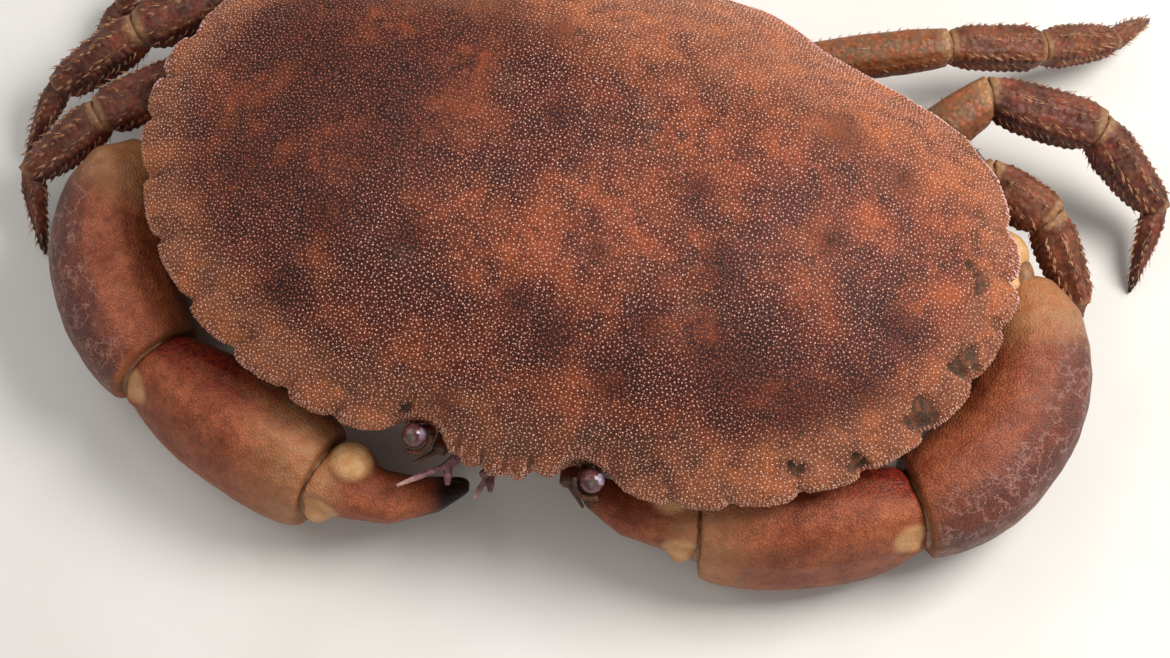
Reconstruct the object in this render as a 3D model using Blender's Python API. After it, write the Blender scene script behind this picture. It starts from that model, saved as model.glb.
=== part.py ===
import bpy
import bmesh
import math
from mathutils import Matrix, Vector

# All sizes are in millimetres and are scaled to metres when a mesh is made.
# The crab faces -Y, its left side is +X and the floor is z = 0.
MM = 0.001
GAP = 0.34

# Carapace
FRONT_Y = -64.0
REAR_Y = 67.0
CENTRE_Y = 2.0
MARGIN_Z = 44.0
DOME_RISE = 28.0
FRONT_DROP = 4.0
REAR_DROP = 12.0
BELLY_Z = 29.0
LOBE_RISE = 1.7
LOBE_REACH = 0.06
NOTCH_DEPTH = 1.7

# Pie-crust notches of the front side margin, from the front to the side tooth.
NOTCHES = [(25.5, -60.4), (38.7, -61.0), (51.1, -58.2), (65.6, -52.0), (78.0, -43.9), (89.4, -32.0),
           (96.9, -17.7), (100.8, -3.6), (101.3, 7.6), (98.2, 19.4)]
# Frontal teeth and the eye socket, from the middle outwards.
FRONT_TEETH = [(0.0, -64.8), (1.6, -64.2), (3.0, -61.4), (4.5, -63.7), (6.0, -63.5), (7.5, -60.4),
               (9.4, -62.5), (12.0, -62.1), (14.6, -59.2), (17.2, -56.4), (20.2, -55.4), (23.2, -57.0)]
FRONT_LINE = (-62.6, 1.6)
# Rear side rim, from the side tooth back to the middle.
REAR_RIM = [(97.0, 25.0), (92.8, 33.2), (84.2, 42.4), (75.0, 47.2), (66.2, 50.4), (57.0, 53.6),
            (48.0, 57.2), (41.0, 61.2), (33.0, 65.2), (22.0, 66.8), (11.0, 67.3), (0.0, 67.4)]
# Swellings and furrows of the shell: x, y, width, length, rise.
REGIONS = [(0.0, -24.0, 17.0, 20.0, 2.2), (0.0, 26.0, 15.0, 14.0, 1.6), (48.0, -14.0, 20.0, 18.0, 1.6),
           (52.0, 24.0, 22.0, 16.0, 1.7), (24.0, 3.0, 6.0, 18.0, -1.5), (30.0, -36.0, 8.0, 8.0, 0.9),
           (18.0, 44.0, 9.0, 9.0, 0.8), (70.0, 4.0, 9.0, 13.0, -0.9)]

# Underbody levels: height, share of the shell outline across, share along.
BODY_LEVELS = [(BELLY_Z - GAP, 0.58, 0.70), (23.0, 0.49, 0.66), (16.0, 0.43, 0.60), (10.0, 0.38, 0.52),
               (6.0, 0.32, 0.44), (3.5, 0.25, 0.36)]
BODY_SIDES = 48

# Abdomen flap folded under the body: y, z, half width. Its plates overlap from the hinge to the tip.
ABDOMEN = [(58.0, 25.4, 17.0), (53.6, 19.5, 17.5), (46.8, 11.6, 16.5), (39.5, 5.2, 15.0), (30.0, 1.6, 13.0),
           (12.0, 1.4, 9.6), (2.0, 1.4, 7.6), (-12.0, 1.4, 2.6)]
ABDOMEN_PLATES = 7
ABDOMEN_THICK = 3.4

# Walking legs: base, hip, knee, wrist, ankle and tip for each one.
LEGS = {
    "leg_1_left": [(40, 4, 15), (54, 9, 17.5), (92, 38, 29), (106.5, 33, 27), (119, 20, 13), (117, 9, 0.5)],
    "leg_2_left": [(40, 18, 15), (54, 23.5, 18), (87, 58, 31), (113.5, 58.5, 27), (133, 49, 12),
                   (132.5, 31, 0.5)],
    "leg_3_left": [(36, 31, 11), (47, 39, 10.5), (72, 52, 14), (88, 46, 12.5), (93, 30, 8), (86, 15, 0.5)],
    "leg_4_left": [(25, 39, 15), (33, 57, 20.5), (75, 72, 25), (97, 80, 20), (115, 92, 11), (124, 106, 0.5)],
    "leg_1_right": [(-40, 3, 15), (-54, 6.5, 17.5), (-99, 16, 29), (-117, 1.5, 26), (-132.5, -13, 14),
                    (-127, -28, 0.5)],
    "leg_2_right": [(-40, 17, 15), (-54, 21.5, 18), (-93, 42, 30), (-115, 25, 27), (-134, 11, 13),
                    (-140, -5, 0.5)],
    "leg_3_right": [(-36, 31, 11), (-47, 39, 11), (-87, 59, 19), (-110, 50, 17), (-128, 38, 8),
                    (-134, 24, 0.5)],
    "leg_4_right": [(-25, 39, 15), (-32, 53, 20.5), (-72, 76, 25), (-92, 88, 20), (-108, 102, 11),
                    (-116, 116, 0.5)],
}
LEG_GIRTH = {"leg_1": 5.7, "leg_2": 6.0, "leg_3": 5.4, "leg_4": 5.2}
# Girth along each leg piece as shares of the leg's girth.
LEG_SHAPES = {
    "base": [(0.0, 1.0), (0.5, 1.02), (1.0, 0.84)],
    "merus": [(0.0, 0.84), (0.16, 0.94), (0.5, 1.08), (0.84, 1.04), (1.0, 0.88)],
    "carpus": [(0.0, 0.82), (0.22, 0.98), (0.6, 1.04), (0.86, 1.02), (1.0, 0.84)],
    "propodus": [(0.0, 0.78), (0.25, 0.94), (0.6, 0.86), (0.85, 0.74), (1.0, 0.58)],
    "dactyl": [(0.0, 0.5), (0.2, 0.52), (0.55, 0.36), (0.85, 0.18), (1.0, 0.08)],
}
LEG_SIDES = 10
LEG_FLAT = 0.94
DACTYL_BOW = 1.4

# Claw arms: points down each piece with half widths and half heights.
ARM_BASE = (34.0, -18.0, 14.0)
CLAWS = {
    "left": {
        "merus": [(51.0, -11.5, 15.5), (75.0, 3.0, 18.5), (102.5, 18.0, 23.0)],
        "carpus": [(107.0, 14.0, 22.5), (111.0, 3.0, 20.5), (111.0, -14.0, 19.0), (104.0, -30.0, 18.5),
                   (92.0, -41.5, 18.0)],
        "palm": [(92.0, -41.5, 18.0), (80.0, -47.5, 17.5), (65.0, -52.5, 17.0), (45.0, -57.2, 17.0)],
        "finger": [(50.0, -55.0, 8.2), (35.0, -55.6, 8.0), (25.0, -54.4, 7.8), (16.5, -52.0, 8.0)],
        "dactyl": [(45.0, -58.2, 22.6), (34.0, -60.0, 21.4), (24.0, -58.0, 18.8), (15.5, -54.0, 15.4)],
    },
    "right": {
        "merus": [(-51.0, -12.5, 15.5), (-72.0, -9.0, 17.5), (-101.5, -6.5, 20.0)],
        "carpus": [(-105.0, -6.5, 20.5), (-108.0, -15.0, 20.0), (-106.0, -29.0, 19.0), (-98.0, -42.5, 18.5),
                   (-87.0, -53.0, 18.0)],
        "palm": [(-87.0, -53.0, 18.0), (-76.0, -58.5, 17.5), (-60.0, -64.0, 17.0), (-41.5, -69.5, 17.0)],
        "finger": [(-46.0, -67.0, 8.2), (-30.0, -67.0, 8.0), (-19.0, -64.5, 7.8), (-10.5, -60.0, 8.0)],
        "dactyl": [(-41.5, -70.5, 22.6), (-29.0, -71.5, 21.4), (-18.5, -68.6, 18.8), (-9.5, -63.0, 15.4)],
    },
}
CLAW_SHAPES = {
    "base": [(0.0, 10.0, 9.5), (0.5, 10.5, 10.0), (1.0, 8.5, 8.5)],
    "merus": [(0.0, 8.5, 8.5), (0.2, 9.5, 9.5), (0.6, 11.5, 11.0), (0.9, 11.0, 11.0), (1.0, 9.5, 9.5)],
    "carpus": [(0.0, 8.0, 9.0), (0.12, 11.5, 12.5), (0.35, 14.0, 15.0), (0.65, 14.6, 16.0),
               (0.88, 13.8, 15.4), (1.0, 12.0, 13.6)],
    "palm": [(0.0, 9.0, 11.0), (0.1, 10.4, 13.4), (0.3, 12.4, 16.0), (0.6, 13.4, 17.2), (0.88, 13.0, 16.8),
             (1.0, 11.2, 15.4)],
    "finger": [(0.0, 6.4, 6.2), (0.4, 5.4, 5.6), (0.75, 4.0, 4.2), (1.0, 2.0, 2.2)],
    "dactyl": [(0.0, 7.0, 6.6), (0.18, 7.4, 6.8), (0.5, 6.0, 5.4), (0.8, 4.0, 3.8), (1.0, 1.7, 1.8)],
}
CLAW_SIDES = 16
CLAW_RINGS = 12
ELBOW_KNOB = (-1.6, -5.2, 1.5, 6.6)
WRIST_KNOB = (3.4, 8.2, 2.4, 3.2)
FINGER_TEETH = 4
TOOTH_RADIUS = 1.7
KNUCKLE_KNOB = (4.0, 6.8, 3.0, 3.4)
KNUCKLE_DOME = (6.2, -4.0, 7.6, 6.4)
CLAW_LEAN = 0.22

# Eyes, feelers and mouth cover
EYE_AT = (20.4, -60.2, 39.4)
EYE_RADIUS = 2.9
STALK_AT = (18.2, -57.0, 33.6)
# Short feelers: root, fork, tip of the whip and tip of the brush.
FEELERS = {
    "left": [(3.8, -58.4, 32.4), (-4.0, -63.2, 32.8), (-4.6, -69.1, 32.0), (-1.3, -66.8, 33.0)],
    "right": [(-9.6, -59.6, 32.6), (-12.7, -63.9, 32.8), (-21.8, -70.9, 33.6), (-11.0, -67.5, 32.4)],
}
HORN_ROOT = (14.4, -55.6, 30.4)
MOUTH = [(-48.6, 26.2, 0.49), (-44.4, 17.6, 0.5), (-37.6, 10.4, 0.46)]
MOUTH_HALF = 12.5
MOUTH_THICK = 3.0


def clear_scene():
    for item in list(bpy.data.objects):
        bpy.data.objects.remove(item, do_unlink=True)


def make_material(name, colour, rough):
    material = bpy.data.materials.new(name)
    material.use_nodes = True
    shader = material.node_tree.nodes["Principled BSDF"]
    shader.inputs["Base Color"].default_value = (colour[0], colour[1], colour[2], 1.0)
    shader.inputs["Roughness"].default_value = rough
    return material


def finish_mesh(name, body, colour, rough=0.6):
    """Turn a mesh in millimetres into a finished object with its own material."""
    bmesh.ops.triangulate(body, faces=body.faces[:])
    bmesh.ops.recalc_face_normals(body, faces=body.faces[:])
    bmesh.ops.scale(body, vec=(MM, MM, MM), verts=body.verts[:])
    mesh = bpy.data.meshes.new(name)
    body.to_mesh(mesh)
    body.free()
    item = bpy.data.objects.new(name, mesh)
    bpy.context.scene.collection.objects.link(item)
    mesh.materials.append(make_material(name + "_colour", colour, rough))
    return item


def skin_rings(body, rings):
    """Join rings of points with quads and close both ends with a fan."""
    loops = [[body.verts.new(point) for point in ring] for ring in rings]
    count = len(loops[0])
    for low, high in zip(loops[:-1], loops[1:]):
        for i in range(count):
            j = (i + 1) % count
            body.faces.new((low[i], low[j], high[j], high[i]))
    for loop, flip in ((loops[0], True), (loops[-1], False)):
        middle = Vector((0.0, 0.0, 0.0))
        for vert in loop:
            middle += vert.co
        hub = body.verts.new(middle / count)
        for i in range(count):
            j = (i + 1) % count
            corner = (loop[j], loop[i], hub) if flip else (loop[i], loop[j], hub)
            body.faces.new(corner)


def rest_on_floor(body):
    for vert in body.verts:
        vert.co.z = max(vert.co.z, 0.0)


def spline(points, share):
    """Point and heading at a share of the way along a smooth path."""
    lengths = [0.0]
    for a, b in zip(points[:-1], points[1:]):
        lengths.append(lengths[-1] + (b - a).length)
    goal = share * lengths[-1]
    index = 0
    while index < len(points) - 2 and goal > lengths[index + 1]:
        index += 1
    u = (goal - lengths[index]) / (lengths[index + 1] - lengths[index])
    b, c = points[index], points[index + 1]
    a = points[index - 1] if index > 0 else b * 2.0 - c
    d = points[index + 2] if index + 2 < len(points) else c * 2.0 - b
    place = 0.5 * (2.0 * b + (c - a) * u + (2.0 * a - 5.0 * b + 4.0 * c - d) * u * u
                   + (3.0 * b - a - 3.0 * c + d) * u ** 3)
    heading = 0.5 * ((c - a) + 2.0 * (2.0 * a - 5.0 * b + 4.0 * c - d) * u
                     + 3.0 * (3.0 * b - a - 3.0 * c + d) * u * u)
    return place, heading.normalized()


def finer(shape, count):
    """The same girths with more stations, rounded between the given ones."""
    curve = [Vector(station) for station in shape]
    result = []
    for i in range(count):
        share = i / (count - 1)
        index = 0
        while index < len(curve) - 2 and share > curve[index + 1].x:
            index += 1
        b, c = curve[index], curve[index + 1]
        a = curve[index - 1] if index > 0 else b * 2.0 - c
        d = curve[index + 2] if index + 2 < len(curve) else c * 2.0 - b
        u = (share - b.x) / (c.x - b.x)
        slope_b = (c - a) * ((c.x - b.x) / (c.x - a.x))
        slope_c = (d - b) * ((c.x - b.x) / (d.x - b.x))
        girth = (b * (2.0 * u ** 3 - 3.0 * u * u + 1.0) + slope_b * (u ** 3 - 2.0 * u * u + u)
                 + c * (3.0 * u * u - 2.0 * u ** 3) + slope_c * (u ** 3 - u * u))
        result.append((share, girth.y, girth.z))
    return result


def limb_rings(points, shape, sides, up, planes=(None, None), domes=(0.0, 0.0), grow=0.0, square=2.4):
    """Rings of a limb piece. The end rings lie in the given joint planes, which neighbours share."""
    rings = []
    last = len(shape) - 1
    stations = [(share, half_w, half_h, 0.0) for share, half_w, half_h in shape]
    if domes[0] > 0.0:
        first = shape[0]
        caps = [(0.0, first[1] * s, first[2] * s, -domes[0] * k) for k, s in ((0.95, 0.35), (0.7, 0.72))]
        stations = caps + stations
    if domes[1] > 0.0:
        end = shape[last]
        stations += [(1.0, end[1] * s, end[2] * s, domes[1] * k) for k, s in ((0.7, 0.72), (0.95, 0.35))]
    for share, half_w, half_h, push in stations:
        centre, heading = spline(points, share)
        centre = centre + heading * push
        side = heading.cross(up).normalized()
        over = side.cross(heading)
        ring = []
        for i in range(sides):
            angle = 2.0 * math.pi * (i + 0.5) / sides
            c, s = math.cos(angle), math.sin(angle)
            x = math.copysign(abs(c) ** (2.0 / square), c) * (half_w + grow)
            y = math.copysign(abs(s) ** (2.0 / square), s) * (half_h + grow)
            point = centre + side * x + over * y
            ends = ((planes[0], 1.0 - share / 0.4, 1.0), (planes[1], (share - 0.6) / 0.4, -1.0))
            for plane, near, way in ends:
                if plane is not None and near > 0.0:
                    lean = heading.dot(plane)
                    shift = -(point - centre).dot(plane) / lean
                    point = point + heading * (shift + way * (GAP / 2.0) / lean) * near
            ring.append(point)
        rings.append(ring)
    return rings


def limb(points, shape, sides, up, planes=(None, None), domes=(0.0, 0.0), grow=0.0, square=2.4):
    body = bmesh.new()
    skin_rings(body, limb_rings(points, shape, sides, up, planes, domes, grow, square))
    rest_on_floor(body)
    return body


def combine(target, tools, operation, solver="EXACT"):
    """Apply one Boolean with a collection of closed tools and remove them afterwards."""
    group = bpy.data.collections.new("tools")
    bpy.context.scene.collection.children.link(group)
    for tool in tools:
        bpy.context.scene.collection.objects.unlink(tool)
        group.objects.link(tool)
        tool.hide_render = True
        tool.display_type = "WIRE"
    change = target.modifiers.new("joined", "BOOLEAN")
    change.operation = operation
    change.operand_type = "COLLECTION"
    change.collection = group
    change.solver = solver
    graph = bpy.context.evaluated_depsgraph_get()
    fresh = bpy.data.meshes.new_from_object(target.evaluated_get(graph))
    target.modifiers.remove(change)
    old = target.data
    target.data = fresh
    bpy.data.meshes.remove(old)
    for tool in tools:
        bpy.data.objects.remove(tool, do_unlink=True)
    bpy.data.collections.remove(group)
    keep_largest(target)


def keep_largest(item):
    """Keep only the largest closed surface of a node."""
    body = bmesh.new()
    body.from_mesh(item.data)
    bmesh.ops.remove_doubles(body, verts=body.verts[:], dist=0.000002)
    bmesh.ops.triangulate(body, faces=body.faces[:])
    left = set(body.verts)
    groups = []
    while left:
        stack = [left.pop()]
        found = list(stack)
        while stack:
            vert = stack.pop()
            for edge in vert.link_edges:
                other = edge.other_vert(vert)
                if other in left:
                    left.remove(other)
                    found.append(other)
                    stack.append(other)
        groups.append(found)
    groups.sort(key=len, reverse=True)
    for spare in groups[1:]:
        bmesh.ops.delete(body, geom=spare, context="VERTS")
    body.to_mesh(item.data)
    body.free()


def shell_outline():
    """Closed outline of the shell as smooth points and outward lobe offsets."""
    half = []
    for x, y in FRONT_TEETH:
        base = FRONT_LINE[0] + FRONT_LINE[1] * (x / 25.0) ** 2
        half.append((x, base, base - y))
    for (ax, ay), (bx, by) in zip(NOTCHES[:-1], NOTCHES[1:]):
        for share, rise in ((0.0, -NOTCH_DEPTH), (0.14, 0.55 * LOBE_RISE), (0.42, LOBE_RISE),
                            (0.74, LOBE_RISE), (0.93, 0.5 * LOBE_RISE)):
            half.append((ax + (bx - ax) * share, ay + (by - ay) * share, rise))
    half.append((NOTCHES[-1][0], NOTCHES[-1][1], -0.3 * NOTCH_DEPTH))
    for x, y in REAR_RIM:
        half.append((x, y, 0.0))
    mirror = [(-x, y, rise) for x, y, rise in reversed(half[1:-1])]
    return half + mirror


def margin_height(y):
    front = FRONT_DROP * math.exp(-(y - FRONT_Y) / 25.0)
    back = REAR_DROP * max(0.0, (y - 12.0) / (REAR_Y - 12.0)) ** 1.6
    return MARGIN_Z - front - back


def region_rise(x, y):
    total = 0.0
    for cx, cy, wide, long, rise in REGIONS:
        for side in ((1.0, -1.0) if cx > 0.0 else (1.0,)):
            total += rise * math.exp(-((x - side * cx) / wide) ** 2 - ((y - cy) / long) ** 2)
    return total


def make_carapace():
    outline = shell_outline()
    shares = [0.22, 0.42, 0.6, 0.75, 0.87, 0.95, 0.988]
    rings = []
    for share in shares:
        ring = []
        for x, y, rise in outline:
            reach = Vector((x, y - CENTRE_Y, 0.0)) * share
            out = reach.normalized() * rise * max(0.0, 1.0 - (1.0 - share) / LOBE_REACH)
            place = reach + out
            px, py = place.x, place.y + CENTRE_Y
            edge = margin_height(y)
            height = edge + (MARGIN_Z + DOME_RISE - edge) * (1.0 - share ** 2.3) ** 0.86
            height += region_rise(px, py) * (1.0 - share ** 4)
            height += min(0.0, rise) * 0.4 * max(0.0, 1.0 - abs(1.0 - share) / 0.1)
            ring.append(Vector((px, py, height)))
        rings.append(ring)
    for share, drop, blend in ((1.0, 0.6, 0.0), (0.985, 2.4, 0.0), (0.93, 3.0, 0.25), (0.84, 3.0, 0.5),
                               (0.72, 3.0, 0.8), (0.6, 3.0, 1.0)):
        ring = []
        for x, y, rise in outline:
            reach = Vector((x, y - CENTRE_Y, 0.0)) * share
            place = reach + reach.normalized() * rise * max(0.0, 1.0 - (1.0 - share) / LOBE_REACH)
            height = (margin_height(y) - drop) * (1.0 - blend) + BELLY_Z * blend
            ring.append(Vector((place.x, place.y + CENTRE_Y, height)))
        rings.append(ring)
    body = bmesh.new()
    skin_rings(body, rings)
    return finish_mesh("carapace", body, (0.42, 0.13, 0.05), 0.55)


def even_outline(count):
    points = [Vector((x, y, 0.0)) for x, y, rise in shell_outline()]
    loop = points + [points[0]]
    lengths = [0.0]
    for a, b in zip(loop[:-1], loop[1:]):
        lengths.append(lengths[-1] + (b - a).length)
    result = []
    index = 0
    for i in range(count):
        goal = lengths[-1] * i / count
        while goal > lengths[index + 1]:
            index += 1
        u = (goal - lengths[index]) / (lengths[index + 1] - lengths[index])
        result.append(loop[index].lerp(loop[index + 1], u))
    return result


def body_rings(grow=0.0):
    outline = even_outline(BODY_SIDES)
    rings = []
    for height, across, along in BODY_LEVELS:
        ring = []
        for point in outline:
            flat = Vector((point.x * across, (point.y - CENTRE_Y) * along, 0.0))
            flat = flat + flat.normalized() * grow
            ring.append(Vector((flat.x, flat.y + CENTRE_Y, height)))
        rings.append(ring)
    if grow > 0.0:
        for point in rings[-1]:
            point.z -= grow
    return rings


def make_underbody():
    body = bmesh.new()
    skin_rings(body, body_rings())
    return finish_mesh("underbody", body, (0.72, 0.55, 0.38), 0.55)


def body_cutter():
    body = bmesh.new()
    skin_rings(body, body_rings(GAP))
    return finish_mesh("body_cutter", body, (0.5, 0.5, 0.5))


def make_abdomen():
    path = [Vector((half, y, z)) for y, z, half in ABDOMEN]
    sides = 12
    rings = []
    for plate in range(ABDOMEN_PLATES):
        for step, wide, thick in ((0.0, 1.0, 1.0), (0.82, 1.04, 1.0), (0.94, 0.97, 0.86)):
            place, heading = spline(path, (plate + step) / ABDOMEN_PLATES)
            heading = Vector((0.0, heading.y, heading.z)).normalized()
            over = Vector((1.0, 0.0, 0.0)).cross(heading)
            ring = []
            for i in range(sides):
                angle = 2.0 * math.pi * (i + 0.5) / sides
                c, s = math.cos(angle), math.sin(angle)
                x = math.copysign(abs(c) ** 0.55, c) * place.x * wide
                lift = math.copysign(abs(s) ** 0.45, s) * ABDOMEN_THICK * thick / 2.0
                ring.append(Vector((x, place.y, place.z)) + over * lift)
            rings.append(ring)
    body = bmesh.new()
    skin_rings(body, rings)
    rest_on_floor(body)
    return finish_mesh("abdomen", body, (0.74, 0.58, 0.4), 0.55)


def make_mouthparts():
    """Two outer mouth plates that meet along the middle."""
    plates = []
    for sign in (1.0, -1.0):
        points = [Vector((sign * MOUTH_HALF * share, y, z)) for y, z, share in MOUTH]
        shape = [(0.0, MOUTH_THICK * 0.42, MOUTH_HALF * 0.42), (0.12, MOUTH_THICK * 0.5, MOUTH_HALF * 0.49),
                 (0.5, MOUTH_THICK * 0.6, MOUTH_HALF * 0.52), (0.9, MOUTH_THICK * 0.5, MOUTH_HALF * 0.47),
                 (1.0, MOUTH_THICK * 0.4, MOUTH_HALF * 0.38)]
        body = limb(points, shape, 12, Vector((1.0, 0.0, 0.0)), square=2.8)
        plates.append(finish_mesh("mouthparts", body, (0.6, 0.4, 0.26), 0.55))
    combine(plates[0], [plates[1]], "UNION")
    return plates[0]


def make_base(name, points, shape, sides, plane, up, colour):
    """First piece of a limb, cut to lie face to face with the underbody."""
    body = limb(points, shape, sides, up, (None, plane))
    item = finish_mesh(name, body, colour)
    combine(item, [body_cutter()], "DIFFERENCE")
    return item


def make_leg(name, joints, girth):
    points = [Vector(joint) for joint in joints]
    headings = [(b - a).normalized() for a, b in zip(points[:-1], points[1:])]
    planes = [None] + [(a + b).normalized() for a, b in zip(headings[:-1], headings[1:])] + [None]
    up = Vector((0.0, 0.0, 1.0))
    colours = {"base": (0.5, 0.26, 0.14), "merus": (0.5, 0.2, 0.09), "carpus": (0.33, 0.1, 0.06),
               "propodus": (0.3, 0.09, 0.06), "dactyl": (0.06, 0.035, 0.03)}
    for index, part in enumerate(("base", "merus", "carpus", "propodus", "dactyl")):
        shape = []
        for share, size in LEG_SHAPES[part]:
            shape.append((share, size * girth * LEG_FLAT, size * girth / LEG_FLAT))
        title = name.replace("leg_", part + "_")
        ends = [points[index], points[index + 1]]
        if part == "base":
            make_base(title, ends, shape, LEG_SIDES, planes[1], up, colours[part])
            continue
        if part == "dactyl":
            ends.insert(1, ends[0].lerp(ends[1], 0.5) + Vector((0.0, 0.0, DACTYL_BOW)))
        body = limb(ends, shape, LEG_SIDES, up, (planes[index], planes[index + 1]), square=2.8)
        finish_mesh(title, body, colours[part])


def knob_place(points, share, knob):
    """Place of a knob: along the limb from a joint, out towards the front and up."""
    centre, heading = spline(points, share)
    front = heading.cross(Vector((0.0, 0.0, 1.0))).normalized()
    if front.y > 0.0:
        front = -front
    return centre + heading * knob[0] + front * knob[1] + Vector((0.0, 0.0, knob[2]))


def ball_tool(centre, radius):
    return finish_mesh("ball_tool", round_ball(centre, radius, 12, 8), (0.5, 0.5, 0.5))


def finger_teeth(points, part, start, side):
    """Blunt teeth sunk in the biting edge of a finger, smaller towards its tip."""
    teeth = []
    for i in range(FINGER_TEETH):
        share = start + (0.86 - start) * i / (FINGER_TEETH - 1)
        centre = spline(points, share)[0]
        shape = CLAW_SHAPES[part]
        height = shape[1][2] + (shape[3][2] - shape[1][2]) * (share - shape[1][0]) / (1.0 - shape[1][0])
        size = TOOTH_RADIUS * (1.0 - 0.12 * i)
        teeth.append(ball_tool(centre + Vector((0.0, 0.0, side * (height - 0.55 * size))), size))
    return teeth


def palm_cutter(points, shape, lean, wrist):
    """The palm grown by the joint gap, which trims what lies against it."""
    body = limb(points, shape, CLAW_SIDES, lean, (wrist, None), (0.0, 0.0), GAP)
    return finish_mesh("palm_cutter", body, (0.5, 0.5, 0.5))


def make_claw(side, arm):
    sign = 1.0 if side == "left" else -1.0
    path = {part: [Vector(point) for point in points] for part, points in arm.items()}
    shapes = {part: finer(CLAW_SHAPES[part], CLAW_RINGS) for part in ("merus", "carpus", "palm")}
    up = Vector((0.0, 0.0, 1.0))
    lean = Vector((0.0, CLAW_LEAN, 1.0))
    merus = path["merus"]
    base = [Vector((sign * ARM_BASE[0], ARM_BASE[1], ARM_BASE[2])), merus[0]]
    hip = ((base[1] - base[0]).normalized() + spline(merus, 0.0)[1]).normalized()
    make_base("claw_base_" + side, base, CLAW_SHAPES["base"], CLAW_SIDES, hip, up, (0.55, 0.3, 0.18))
    wrist = (spline(path["carpus"], 1.0)[1] + spline(path["palm"], 0.0)[1]).normalized()
    knuckle = spline(path["palm"], 1.0)[1]
    body = limb(path["carpus"], shapes["carpus"], CLAW_SIDES, up, (None, wrist), (5.0, 0.0))
    carpus = finish_mesh("claw_carpus_" + side, body, (0.4, 0.17, 0.1), 0.5)
    body = limb(merus, shapes["merus"], CLAW_SIDES, up, (hip, None))
    item = finish_mesh("claw_merus_" + side, body, (0.5, 0.26, 0.14))
    combine(item, [ball_tool(knob_place(merus, 1.0, ELBOW_KNOB), ELBOW_KNOB[3])], "UNION")
    body = limb(path["carpus"], shapes["carpus"], CLAW_SIDES, up, (None, wrist),
                (5.0 + 2.0 * GAP, 0.0), GAP * 1.3)
    combine(item, [finish_mesh("carpus_cutter", body, (0.5, 0.5, 0.5))], "DIFFERENCE")
    body = limb(path["palm"], shapes["palm"], CLAW_SIDES, lean, (wrist, knuckle))
    item = finish_mesh("claw_palm_" + side, body, (0.45, 0.18, 0.11), 0.5)
    body = limb(path["finger"], CLAW_SHAPES["finger"], 12, up, (None, None), (0.0, 1.6))
    knob = knob_place(path["palm"], 0.0, WRIST_KNOB)
    tools = [ball_tool(knob, WRIST_KNOB[3]), finish_mesh("finger_tool", body, (0.5, 0.5, 0.5))]
    combine(item, tools + finger_teeth(path["finger"], "finger", 0.36, 1.0), "UNION")
    combine(carpus, [ball_tool(knob, WRIST_KNOB[3] + GAP)], "DIFFERENCE")
    body = limb(path["dactyl"], CLAW_SHAPES["dactyl"], 12, up, (knuckle, None), (0.0, 1.6))
    item = finish_mesh("claw_dactyl_" + side, body, (0.3, 0.13, 0.09), 0.5)
    balls = finger_teeth(path["dactyl"], "dactyl", 0.28, -1.0)
    for knob in (KNUCKLE_KNOB, KNUCKLE_DOME):
        balls.append(ball_tool(knob_place(path["palm"], 1.0, knob), knob[3]))
    combine(item, balls, "UNION")
    combine(item, [palm_cutter(path["palm"], shapes["palm"], lean, wrist)], "DIFFERENCE")


def round_ball(centre, radius, segments, rings):
    body = bmesh.new()
    bmesh.ops.create_uvsphere(body, u_segments=segments, v_segments=rings, radius=radius,
                              matrix=Matrix.Translation(centre))
    return body


def eye_pieces(sign, grow):
    """Ball and stalk of one eye, grown by a gap where they cut the socket."""
    ball = Vector((sign * EYE_AT[0], EYE_AT[1], EYE_AT[2]))
    foot = Vector((sign * STALK_AT[0], STALK_AT[1], STALK_AT[2]))
    foot = foot + (foot - ball).normalized() * grow * 2.0
    shape = [(0.0, 2.0, 2.0), (0.6, 1.9, 1.9), (1.0, 1.5, 1.5)]
    stalk = limb([foot, ball], shape, 10, Vector((1.0, 0.0, 0.0)), grow=grow * 1.2)
    return round_ball(ball, EYE_RADIUS + grow * 1.2, 14, 10), stalk


def make_eye(side, carapace):
    sign = 1.0 if side == "left" else -1.0
    ball, stalk = eye_pieces(sign, 0.0)
    item = finish_mesh("eye_" + side, ball, (0.12, 0.07, 0.09), 0.2)
    combine(item, [finish_mesh("stalk_tool", stalk, (0.5, 0.5, 0.5))], "UNION")
    tools = []
    for piece in eye_pieces(sign, GAP):
        tools.append(finish_mesh("socket_tool", piece, (0.5, 0.5, 0.5)))
    combine(carapace, tools, "DIFFERENCE", "MANIFOLD")


def make_feeler(side):
    """Short forked feeler: a stout stem that splits into a whip and a brush."""
    root, fork, whip, brush = [Vector(point) for point in FEELERS[side]]
    up = Vector((0.0, 0.0, 1.0))
    item = finish_mesh("antennule_" + side, limb([root, fork], [(0.0, 1.5, 1.5), (1.0, 1.1, 1.1)], 8, up,
                                                 (None, None), (0.0, 0.8)), (0.45, 0.2, 0.24), 0.5)
    tools = []
    for tip, fat in ((whip, 0.7), (brush, 1.0)):
        start = root.lerp(fork, 0.8)
        body = limb([start, tip], [(0.0, fat, fat), (0.6, fat, fat), (1.0, fat * 0.55, fat * 0.55)], 8, up)
        tools.append(finish_mesh("branch_tool", body, (0.5, 0.5, 0.5)))
    combine(item, tools, "UNION")


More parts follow.
